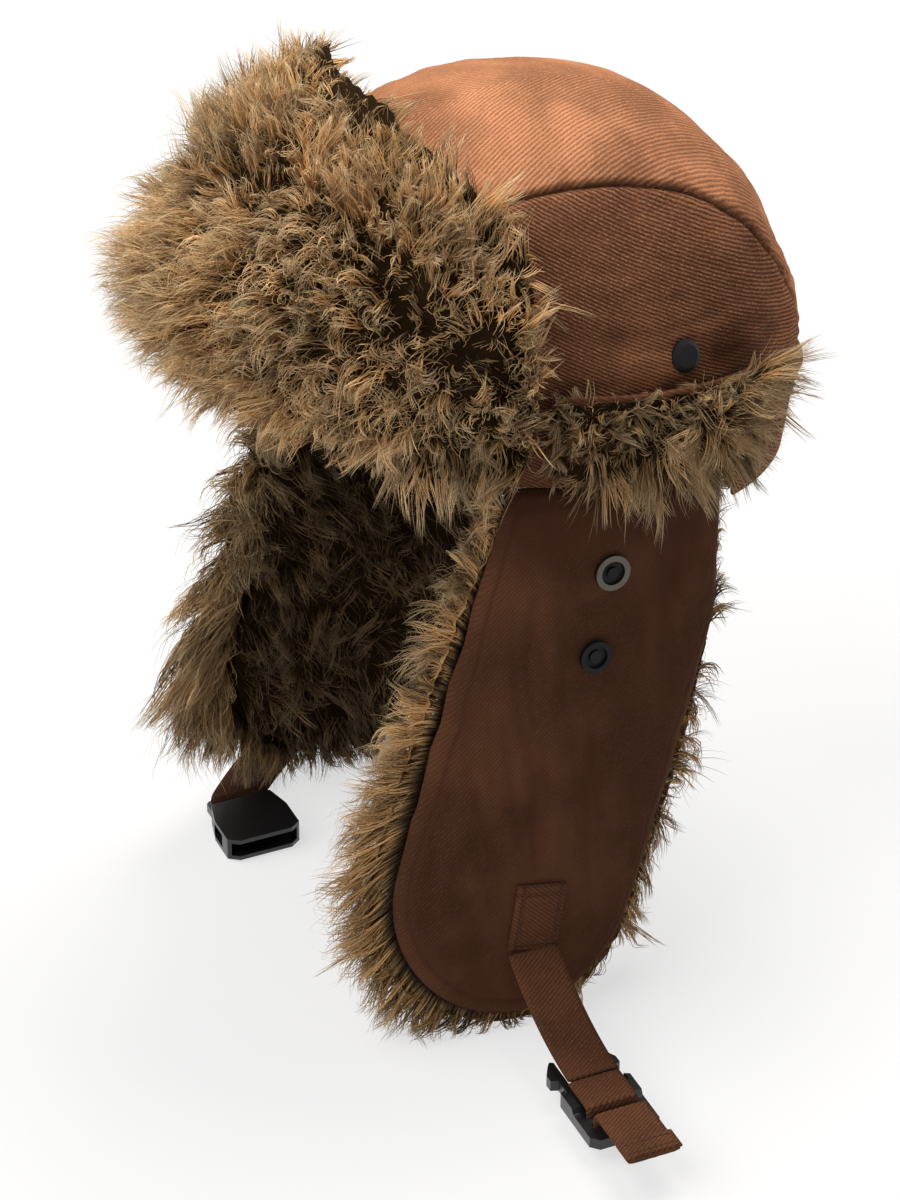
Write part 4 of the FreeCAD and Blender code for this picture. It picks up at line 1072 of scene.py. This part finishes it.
def flap_face(y, z, depth=0.0):
    """Point of the left flap's layer at a depth under its outer face, before it swings out."""
    share = -np.asarray(z) / FLAP_LENGTH
    radius = FLAP_TOP_RADIUS + share * (FLAP_LOW_RADIUS - FLAP_TOP_RADIUS)
    middle = -share * FLAP_LEAN
    x = FLAP_APEX - radius + np.sqrt(np.maximum((radius - depth) ** 2 - (y - middle) ** 2, 1e-9))
    return np.stack([x, np.asarray(y) + 0 * x, np.asarray(z) + 0 * x], -1)


def flap_turn(side):
    """Swing of a flap about its fold line."""
    joint = JOINTS["earflap_fold_left"]
    pivot = Vector(joint["pos_m"])
    turn = Matrix.Rotation(math.radians(FLARE[side]), 4, Vector(joint["axis"]))
    return Matrix.Translation(pivot) @ turn @ Matrix.Translation(-pivot)


def hang(points, side):
    """Points of the left flap in their hanging place, mirrored for the right side."""
    turn = np.array(flap_turn(side))
    moved = np.asarray(points) @ turn[:3, :3].T + turn[:3, 3]
    if side == "right":
        moved = moved * MIRRORED
    return moved


def side_view(node, side):
    """Points of a node in the side view of the flap that it belongs to, before the flap swings out."""
    points = np.array([v.co for v in NODES[node].data.vertices])
    if side == "right":
        points = points * MIRRORED
    back = np.linalg.inv(np.array(flap_turn(side)))
    return (points @ back[:3, :3].T + back[:3, 3])[:, 1:]


def support_reach(offsets, way):
    """Distance along a direction to the edge of the convex outline round some points."""
    best = math.inf
    for probe in np.linspace(-1.35, 1.35, 91):
        angle = math.atan2(way[1], way[0]) + probe
        normal = np.array([math.cos(angle), math.sin(angle)])
        best = min(best, (offsets @ normal).max() / max(1e-6, normal @ way))
    return best


def ring_grid(node, side, shares, count=220):
    """Side-view points of rings at some shares of a flap's outline, and the outline's reach from its
    middle at even angles."""
    offsets = side_view(node, side) - FLAP_MIDDLE
    angles = np.linspace(0, 2 * math.pi, count, endpoint=False)
    way = np.stack([np.cos(angles), np.sin(angles)], -1)
    reach = np.array([support_reach(offsets, direction) for direction in way])
    return np.stack([FLAP_MIDDLE + way * (reach * share)[:, None] for share in shares]), reach


class HAT_OT_earflaps(bpy.types.Operator):
    """Padded twill earflaps with their fur lining and fringe"""

    bl_idname = "hat.earflaps"
    bl_label = "Earflaps"

    def execute(self, context):
        for side, seed in (("left", 51), ("right", 61)):
            self.cloth(side)
            self.fur(side, seed)
        return {"FINISHED"}

    def cloth(self, side):
        """Outer face that puffs between its edges, and the edge rolled round to the fur."""
        shares = np.concatenate([np.linspace(0, 0.86, 44), np.linspace(0.875, 1.0, 14)])
        rings, reach = ring_grid(f"earflap_shell_{side}", side, shares)
        count = rings.shape[1]
        y, z = rings[..., 0], rings[..., 1]
        inside = (1 - shares)[:, None] * reach[None]
        face = flap_face(y, z)
        flat = np.stack([0 * y, y, z], -1).reshape(-1, 3)
        broad = rumple(flat, 17.0, (1, 1, 0.8), 2.0 if side == "left" else 5.0).reshape(y.shape)
        folds = rumple(flat, 26.0, (1, 2.2, 0.5), 9.0).reshape(y.shape)
        fine = rumple(flat, 95.0, (1, 1, 1), 4.0).reshape(y.shape)
        edge = 1 - np.sqrt(np.clip(inside / (5.5 * MM), 0, 1))
        # the cloth puffs inside its edge, and lies flat round its snaps and its strap patch
        puff = smoothstep(inside, 0, 26 * MM)
        loose = puff * smoothstep(self.fitting_distance(side, y, z), 0.0, 14 * MM)
        seam = bell(inside, 5 * MM, 1 * MM)
        pucker = bell(inside, 6 * MM, 7 * MM) * fine
        lift = -2.4 * MM * edge + 0.9 * MM * loose + sizes().pucker * loose * (0.9 * broad + 1.2 * folds)
        lift += 0.45 * MM * pucker - 0.35 * MM * seam
        face[..., 0] += lift
        # the edge rolls round to the inner side: how far out and how deep, in millimetres
        rolls = []
        for grow, depth in ((1.3, 3.0), (0.9, 3.9), (-2.5, 4.5)):
            ring = rings[-1] + normalised(rings[-1] - rings[0]) * grow * MM
            rolls.append(flap_face(ring[:, 0], ring[:, 1], depth * MM))
        grid = np.concatenate([face, np.array(rolls)])
        rows = len(grid)
        uv_y = np.concatenate([y, np.repeat(y[-1:], 3, 0)])
        uv_z = np.concatenate([z, z[-1:] + 0.001, z[-1:] + 0.002, z[-1:] + 0.003])
        uv = np.stack([uv_y, uv_z], -1).reshape(-1, 2)
        points = hang(grid.reshape(-1, 3), side)
        piece = mesh_object(
            f"earflap_cloth_{side}", points, grid_faces(rows, count, True, side == "left"),
            "shaded_flap_twill", f"earflap_{side}", uv,
        )
        # painted shade in the hollows of the folds and along the seam, more near the top under the ear covers,
        # and on the rolled edge
        dark = np.clip(0.1 - (0.6 * broad + 0.9 * folds) * loose, 0, 1) * 0.85 + 0.6 * seam
        dark = dark + 0.55 * smoothstep(z, -34 * MM, -8 * MM)
        dark = np.concatenate([dark, np.full((3, count), 0.3)])
        set_painted_shade(piece, np.clip(dark, 0, 1).ravel())
        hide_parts(f"earflap_shell_{side}", f"earflap_wadding_{side}")

    def fitting_distance(self, side, y, z):
        """Distance in the flap's side view from its snaps and its strap patch."""
        nearest = np.full(y.shape, 1.0)
        for name in NODES:
            if name.endswith(side) and name.startswith(("snap_", "strap_patch")):
                flat = side_view(name, side)
                low, high = flat.min(0), flat.max(0)
                off_y = np.maximum(np.maximum(low[0] - y, y - high[0]), 0)
                off_z = np.maximum(np.maximum(low[1] - z, z - high[1]), 0)
                nearest = np.minimum(nearest, np.hypot(off_y, off_z))
        return nearest

    def fur(self, side, seed):
        """Fur over the inner side, and a fringe that fans out round the edge."""
        shares = np.concatenate([np.linspace(0.05, 0.8, 20), np.linspace(0.83, 0.97, 5)])
        rings, _ = ring_grid(f"earflap_shell_{side}", side, shares, 160)
        y, z = rings[..., 0], rings[..., 1]
        roots = flap_face(y, np.minimum(z, -4 * MM), FLAP_THICK - 0.4 * MM)
        # the pile thins towards the edge
        depth = FLAP_THICK + FLAP_PILE * (1 - 0.2 * shares[:, None] ** 8)
        limits = flap_face(y, np.minimum(z, -7 * MM), depth)
        far = side == "right"
        # painted shade: the far flap's fur is painted darker, as in shadow
        finish = "shaded_far_fur" if far else "fur"
        inner = self.pelt(f"earflap_fur_{side}", side, roots, limits, seed, finish)
        inner.coat(straight_comb(0, 4, -8, 31, 17), 0.6, start=0.15)
        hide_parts(f"earflap_fur_{side}")
        self.fringe(side, seed + 1)

    def fringe(self, side, seed):
        """Locks that stand out round the edge and turn in to the fur lining."""
        far = side == "right"
        outline = ring_grid(f"earflap_shell_{side}", side, [0.995], 260)[0][0]
        edge = ring_grid(f"earflap_fur_{side}", side, [1.0], 260)[0][0]
        # the fold line has no fringe
        kept = outline[:, 1] < -3 * MM
        start = int(np.argmax(kept & ~np.roll(kept, 1)))
        outline, edge, kept = (np.roll(a, -start, 0) for a in (outline, edge, kept))
        outline, edge = outline[kept], edge[kept]
        away = edge - outline
        # short at the top of the front edge, long along the lower half and the rounded end
        grown = 0.55 + 0.75 * smoothstep(-outline[:, 1], 30 * MM, 130 * MM)
        if far:
            grown = np.where(outline[:, 0] < -40 * MM, 2.0, 1.2)
            grown = 0.7 + (grown - 0.7) * (1 - smoothstep(-outline[:, 1], 150 * MM, 185 * MM))
        long = (np.maximum(np.linalg.norm(away, axis=1), 11 * MM) * grown)[:, None]
        away = normalised(away) * long
        roots, limits = [], []
        for turn in np.radians((4, 22, 42, 62, 80)):
            reach = outline + away * math.cos(turn)
            deep = FLAP_THICK - 0.8 * MM + 1.5 * MM * turn
            roots.append(flap_face(outline[:, 0], outline[:, 1], deep))
            limits.append(flap_face(reach[:, 0], reach[:, 1], deep + 0.82 * FLAP_PILE * math.sin(turn)))
        # painted shade: the far flap's fringe and its under-fur are painted darker, as in shadow
        name, finish = f"earflap_fringe_{side}", "shaded_far_fringe" if far else "fringe"
        pelt = self.pelt(name, side, np.array(roots), np.array(limits), seed, finish, False)
        under = "pelt" if far else "backing"
        pelt.coat(straight_comb(0, 3, -9, 57), 1.1, start=0.04, curl=1.2, depth=0.4, under=under)

    def pelt(self, name, side, roots, limits, seed, finish, closed=True):
        """Pelt in a flap's hanging place, joined up where its rings go all the way round."""
        grids = []
        for grid in (roots, limits):
            if closed:
                grid = np.concatenate([grid, grid[:, :1]], 1)
            grids.append(hang(grid.reshape(-1, 3), side).reshape(grid.shape))
        return Pelt(name, f"earflap_{side}", grids[0], grids[1], seed, finish, closed)


# ------------------------------------------------------------------ straps


def ribbon(name, centres, acrosses, width, thick, body, finish="strap_twill", slot="webbing", segments=10):
    """Closed woven strap along some points, with soft edges. acrosses point over its width."""
    centres = np.asarray(centres, float)
    acrosses = normalised(np.asarray(acrosses, float))
    tangents = normalised(np.gradient(centres, axis=0))
    normals = normalised(np.cross(tangents, acrosses))
    lengths = np.concatenate([[0], np.cumsum(np.linalg.norm(np.diff(centres, axis=0), axis=1))])
    section = []
    for k in range(segments + 1):
        s = -1 + 2 * k / segments
        section.append((s, 0.5 * (1 - 0.55 * abs(s) ** 10)))
    section += [(s, -h) for s, h in section[::-1]]
    rows, columns = len(centres), len(section)
    points = np.zeros((rows, columns, 3))
    uv = np.zeros((rows, columns, 2))
    for j, (s, h) in enumerate(section):
        edge = 0.14 * MM * (math.cos(9 * s) if abs(s) < 0.9 else 0)
        points[:, j] = centres + acrosses * (0.5 * width * s) + normals * (h * thick + math.copysign(edge, h))
        uv[:, j, 0] = 0.5 * width * s
        uv[:, j, 1] = lengths
    faces = grid_faces(rows, columns, True)
    faces.append(list(range(columns))[::-1])
    faces.append([(rows - 1) * columns + j for j in range(columns)])
    piece = mesh_object(name, points.reshape(-1, 3), faces, finish, body, uv.reshape(-1, 2))
    # darker lines just inside the webbing's edges, laid on through the painted shade attribute
    dark = np.array([0.55 * (0.82 < abs(s) < 0.97) for s, _ in section])
    set_painted_shade(piece, np.tile(dark, rows))
    return piece


def stitches(name, path, normals, body, closed=False, width=0.45 * MM, sunk=0.05 * MM):
    """A row of short thread stitches along points that lie on the cloth."""
    path, normals = np.asarray(path, float), np.asarray(normals, float)
    if closed:
        path = np.concatenate([path, path[:1]])
        normals = np.concatenate([normals, normals[:1]])
    lengths = np.concatenate([[0], np.cumsum(np.linalg.norm(np.diff(path, axis=0), axis=1))])
    pitch = sizes().stitch
    count = max(1, int(lengths[-1] / pitch))
    points, faces = [], []
    for k in range(count):
        first, last = (k + 0.12) * lengths[-1] / count, (k + 0.88) * lengths[-1] / count
        ends = [np.array([np.interp(s, lengths, path[:, a]) for a in range(3)]) for s in (first, last)]
        up = normalised(np.array([np.interp(0.5 * (first + last), lengths, normals[:, a]) for a in range(3)]))
        side = normalised(np.cross(ends[1] - ends[0], up))
        base = len(points)
        for t, fat in ((0, 0.35), (0.25, 1.0), (0.75, 1.0), (1, 0.35)):
            middle = ends[0] + (ends[1] - ends[0]) * t + up * (fat * 0.5 * width - sunk)
            for m in range(6):
                angle = math.pi * m / 3
                over = side * (0.5 * width * fat * math.cos(angle))
                points.append(middle + over + up * (0.42 * width * fat * math.sin(angle)))
        for i in range(3):
            for m in range(6):
                n = (m + 1) % 6
                faces.append([base + 6 * i + m, base + 6 * i + n, base + 6 * i + 6 + n, base + 6 * i + 6 + m])
        faces.append([base + m for m in range(6)][::-1])
        faces.append([base + 18 + m for m in range(6)])
    return mesh_object(name, points, faces, "thread", body)


def smooth_path(points, count=40):
    """Points along a smooth line through the ones given."""
    points = np.asarray(points, float)
    extended = np.concatenate([[2 * points[0] - points[1]], points, [2 * points[-1] - points[-2]]])
    line = []
    spans = len(points) - 1
    for t in np.linspace(0, spans, count):
        i = min(int(t), spans - 1)
        f = t - i
        p0, p1, p2, p3 = extended[i : i + 4]
        bend = 2 * p0 - 5 * p1 + 4 * p2 - p3
        twist = 3 * p1 - p0 - 3 * p2 + p3
        line.append(0.5 * (2 * p1 + (p2 - p0) * f + bend * f**2 + twist * f**3))
    return np.array(line)


WEBBING_WIDTH = 20 * MM
WEBBING_THICK = 1.6 * MM


def patch_frame(side, across, up, out=0.0):
    """Point of the strap patch, from its middle: across its width, up its height, out of the cloth."""
    tilt = math.radians(12)
    y = -38 * MM + across * math.cos(tilt) + up * math.sin(tilt)
    z = -166 * MM + up * math.cos(tilt) - across * math.sin(tilt)
    return hang([flap_face(y, z, -out)], side)[0]


class HAT_OT_straps(bpy.types.Operator):
    """Chin strap: stitched patches, webbing, and the tail through the buckle"""

    bl_idname = "hat.straps"
    bl_label = "Chin strap"

    def execute(self, context):
        for side in ("left", "right"):
            self.patch(side)
        self.left()
        self.right()
        self.tail()
        return {"FINISHED"}

    def patch(self, side):
        """Strap end laid on the flap with a stitched box, above its folded hem."""
        half_width, half_height = 10.2 * MM, 13.5 * MM
        rows, columns = 34, 26
        points, uv, dark = [], [], []
        for i in range(rows):
            up = half_height * (1 - 2 * i / (rows - 1))
            for j in range(columns):
                across = half_width * (2 * j / (columns - 1) - 1)
                edge = min(half_width - abs(across), half_height - abs(up))
                beside = abs(half_width - abs(across) - 2.6 * MM)
                above = abs(half_height - 2 * MM - abs(up + 0.5 * MM) - 1.2 * MM)
                box = min(beside, above)
                # a rounded edge, and the cloth drawn in along the stitched box
                out = 1.7 * MM * math.sqrt(min(1.0, edge / (1.2 * MM))) - 0.35 * MM * bell(box, 0, 0.9 * MM)
                points.append(patch_frame(side, across, up, out + 0.8 * MM))
                uv.append((across, up))
                # painted shade along the drawn-in stitched box and at the patch's very edge
                dark.append(0.6 * bell(box, 0, 0.8 * MM) + 0.5 * (edge < 0.4 * MM))
        faces = grid_faces(rows, columns, False, side == "left")
        body = f"earflap_{side}"
        piece = mesh_object(f"strap_patch_cloth_{side}", points, faces, "strap_twill", body, uv)
        set_painted_shade(piece, dark)
        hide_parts(f"strap_patch_{side}")
        box = []
        for across, up in ((-1, 1), (1, 1), (1, -1), (-1, -1)):
            box.append((across * (half_width - 2.6 * MM), up * (half_height - 3.4 * MM)))
        path = []
        for (a0, u0), (a1, u1) in zip(box, box[1:] + box[:1]):
            for t in np.linspace(0, 1, 8, endpoint=False):
                path.append((a0 + (a1 - a0) * t, u0 + (u1 - u0) * t))
        line = np.array([patch_frame(side, a, u, 2.2 * MM) for a, u in path])
        outward = np.array([patch_frame(side, a, u, 4 * MM) for a, u in path]) - line
        stitches(f"patch_stitches_{side}", line, outward, body, closed=True)

    def left(self):
        """Free webbing that curves out from the near flap to the buckle."""
        tree = node_tree("webbing_left")
        low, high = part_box("webbing_left")
        middle = 0.5 * (low[1] + high[1])
        centres = []
        for x in np.linspace(low[0] + 0.5 * MM, high[0] - 0.05 * MM, 40):
            top = tree.ray_cast(Vector((x, middle, 0)), Vector((0, 0, -1)))
            under = tree.ray_cast(Vector((x, middle, -0.4)), Vector((0, 0, 1)))
            if top[0] is not None and under[0] is not None:
                centres.append((x, middle, 0.5 * (top[0].z + under[0].z)))
        level = [(0, 1, 0)] * len(centres)
        piece = ribbon("webbing_left_cloth", centres, level, WEBBING_WIDTH, WEBBING_THICK, "strap_left")
        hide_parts("webbing_left")

    def right(self):
        """Webbing that drops from the far patch, folds under the flap and runs flat to the socket."""
        start = np.array(JOINTS["strap_fold_right"]["pos_m"])
        bar = np.array(JOINTS["socket_loop"]["pos_m"])
        loop_radius = 2.95 * MM
        end = bar + np.array([-loop_radius, 0, 0])
        # steps along the strap, in its widths
        steps = ((0, 0, 0), (-0.2, -0.3, -0.85), (0.15, -1.5, -1.62), (0.9, -2.25, -1.6))
        centres = [start + np.array(step) * WEBBING_WIDTH for step in steps] + [end]
        acrosses = [(0, 1, -0.15), (0, 1, -0.2), (0.6, 0.8, 0), (0.5, 0.9, 0), (0, 1, 0)]
        # painted shade: the far webbing is painted nearly black, as in shadow
        kind = (WEBBING_WIDTH, WEBBING_THICK, "strap_right", "shaded_far_twill")
        piece = ribbon("webbing_right_cloth", smooth_path(centres, 44), smooth_path(acrosses, 44), *kind)
        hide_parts("webbing_right")
        loop = []
        for k in range(25):
            angle = math.pi + 2 * math.pi * k / 24
            loop.append(bar + loop_radius * np.array([math.cos(angle), 0, math.sin(angle)]))
        ribbon("webbing_loop_cloth", loop, [(0, 1, 0)] * len(loop), *kind)

    def tail(self):
        """Webbing down and up through the ladder lock, and the hemmed free end over it."""
        low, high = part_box("strap_tail")
        middle = 0.5 * (low[1] + high[1])
        web = WEBBING_THICK
        under = low[2] + 0.5 * web
        flat = JOINTS["plug_loop"]["pos_m"][2] - 0.5 * web
        down = low[0] + 12 * MM + 2.3 * web
        rise = down + 5.6 * MM
        lift = high[2] - 0.5 * web
        route = [
            (low[0], flat), (down - 2.5 * MM, flat), (down - 0.6 * MM, flat - 0.7 * MM), (down, flat - 3 * MM),
            (down + 0.2 * MM, under + 1.5 * MM), (down + 1.4 * MM, under), (rise - 1.4 * MM, under),
            (rise - 0.2 * MM, under + 1.5 * MM), (rise, flat - 2 * MM), (rise + 0.8 * MM, lift - 0.4 * MM),
            (rise + 3 * MM, lift), (high[0] - 12 * MM, lift + 0.2 * MM), (high[0], lift),
        ]
        line = smooth_path([(x, middle, z) for x, z in route], 90)
        wide = WEBBING_WIDTH * 1.02
        piece = ribbon("strap_tail_cloth", line, [(0, 1, 0)] * len(line), wide, web, "buckle_plug")
        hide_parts("strap_tail")
        hem = []
        for x in np.linspace(high[0] - 9 * MM, high[0] + 0.2 * MM, 12):
            hem.append((x, middle, lift + 0.75 * web))
        ribbon("tail_hem_cloth", hem, [(0, 1, 0)] * len(hem), wide + 1.5 * MM, web, "buckle_plug")
        for offset, name in ((2.2, "near"), (7.0, "far")):
            x, z = high[0] - offset * MM, lift + 1.3 * web
            line = [(x, middle + s * 0.45 * wide, z) for s in np.linspace(-1, 1, 9)]
            stitches(f"hem_stitches_{name}", line, [(0, 0, 1)] * len(line), "buckle_plug")
        for sign, name in ((-1, "one"), (1, "two")):
            line = [
                (x, middle + sign * 0.4 * wide, lift + 0.52 * web)
                for x in np.linspace(rise + 3 * MM, high[0] - 9.5 * MM, 12)
            ]
            stitches(f"tail_stitches_{name}", line, [(0, 0, 1)] * len(line), "buckle_plug")


# ------------------------------------------------------------------ buckle and snaps


class HAT_OT_hardware(bpy.types.Operator):
    """Buckle halves and snap fasteners, kept from the solids with their edges softened"""

    bl_idname = "hat.hardware"
    bl_label = "Buckle and snaps"

    def execute(self, context):
        for name, node in NODES.items():
            if name.startswith(("buckle", "prong")):
                self.finish(node, "plastic", 0.35 * MM)
            elif name.startswith("snap_ring"):
                self.finish(node, "steel", 0.18 * MM)
            elif name.startswith(("snap_", "crown_snap")):
                self.finish(node, "black_metal", 0.18 * MM)
        return {"FINISHED"}

    def finish(self, node, name, radius):
        node.data.materials.clear()
        node.data.materials.append(material(name))
        bevel = node.modifiers.new("soft_edges", "BEVEL")
        bevel.width = radius
        bevel.segments = 2
        bevel.limit_method = "ANGLE"
        bevel.angle_limit = math.radians(35)
        bevel.use_clamp_overlap = True


# ------------------------------------------------------------------ camera and stage


class HAT_OT_stage(bpy.types.Operator):
    """Camera, pale floor and soft studio light"""

    bl_idname = "hat.stage"
    bl_label = "Camera and stage"

    def execute(self, context):
        self.camera(context)
        self.floor()
        self.lights(context)
        context.scene.view_settings.view_transform = "Standard"
        return {"FINISHED"}

    def camera(self, context):
        azimuth, elevation, distance = math.radians(66), math.radians(33.5), 1.67
        target = Vector((0.03684, -0.03712, -0.07365))
        level = math.cos(elevation)
        away = Vector((math.sin(azimuth) * level, -math.cos(azimuth) * level, math.sin(elevation)))
        data = bpy.data.cameras.new("camera")
        data.lens = 135
        data.sensor_width = 36
        camera = bpy.data.objects.new("camera", data)
        context.scene.collection.objects.link(camera)
        camera.location = target + away * distance
        camera.rotation_euler = away.to_track_quat("Z", "Y").to_euler()
        context.scene.camera = camera

    def floor(self):
        level = CAD_BOX[0][2] - 0.4 * MM
        mesh = bpy.data.meshes.new("floor")
        half = 1.7
        corners = [(-half, -half, level), (half, -half, level), (half, half, level), (-half, half, level)]
        mesh.from_pydata(corners, [], [(0, 1, 2, 3)])
        floor = bpy.data.objects.new("floor", mesh)
        bpy.context.scene.collection.objects.link(floor)
        graph = Graph("pale_floor")
        graph.finish(Base_Color=(0.93, 0.93, 0.94), Roughness=0.9, Specular_IOR_Level=0.1)
        # the camera and the gloss see the floor nearly white, with the shadow still on it
        graph.lighten("ShaderNodeEmission", graph.seen() * 0.65)
        mesh.materials.append(graph.owner)

    def lights(self, context):
        graph = Graph("studio", bpy.data.worlds.new("studio"), "Background")
        context.scene.world = graph.finish(Color=(0.93, 0.96, 1.0), Strength=0.13)
        graph.lighten("ShaderNodeBackground", graph.seen())
        # name, place, width, power and colour
        lamps = (
            ("key", (-0.45, 0.45, 1.45), 0.9, 24.0, (1.0, 0.97, 0.93)),
            ("front", (-0.1, -1.1, 1.15), 1.6, 25.0, (1.0, 0.98, 0.95)),
            ("fill", (1.3, -0.6, 0.8), 1.0, 0.8, (0.95, 0.97, 1.0)),
        )
        for name, place, width, power, tint in lamps:
            data = bpy.data.lights.new(name, "AREA")
            data.size = width
            data.energy = power
            data.color = tint
            lamp = bpy.data.objects.new(name, data)
            context.scene.collection.objects.link(lamp)
            lamp.location = place
            aim = Vector((0, -0.02, -0.03)) - Vector(place)
            lamp.rotation_euler = aim.to_track_quat("-Z", "Y").to_euler()


# ------------------------------------------------------------------ add-on


class HAT_PT_panel(bpy.types.Panel):
    """The hat's settings and steps"""

    bl_idname = "HAT_PT_panel"
    bl_label = "Trapper hat"
    bl_space_type = "VIEW_3D"
    bl_region_type = "UI"
    bl_category = "Hat"

    def draw(self, context):
        for group in (context.scene.hat_sizes, context.scene.hat_colours):
            for name in group.bl_rna.properties.keys():
                if name not in ("rna_type", "name"):
                    self.layout.prop(group, name)
        for step in STEPS:
            self.layout.operator(step.bl_idname)


STEPS = (
    HAT_OT_stage,
    HAT_OT_crown,
    HAT_OT_visor,
    HAT_OT_ear_covers,
    HAT_OT_neck_flap,
    HAT_OT_earflaps,
    HAT_OT_straps,
    HAT_OT_hardware,
)
CLASSES = (HatSizes, HatColours, *STEPS, HAT_PT_panel)


def register():
    for item in CLASSES:
        bpy.utils.register_class(item)
    bpy.types.Scene.hat_sizes = bpy.props.PointerProperty(type=HatSizes)
    bpy.types.Scene.hat_colours = bpy.props.PointerProperty(type=HatColours)


def unregister():
    del bpy.types.Scene.hat_colours
    del bpy.types.Scene.hat_sizes
    for item in reversed(CLASSES):
        bpy.utils.unregister_class(item)


def main():
    register()
    bpy.ops.hat.stage()
    bpy.ops.hat.crown()
    bpy.ops.hat.visor()
    bpy.ops.hat.ear_covers()
    bpy.ops.hat.neck_flap()
    bpy.ops.hat.earflaps()
    bpy.ops.hat.straps()
    bpy.ops.hat.hardware()


if __name__ == "__main__":
    main()
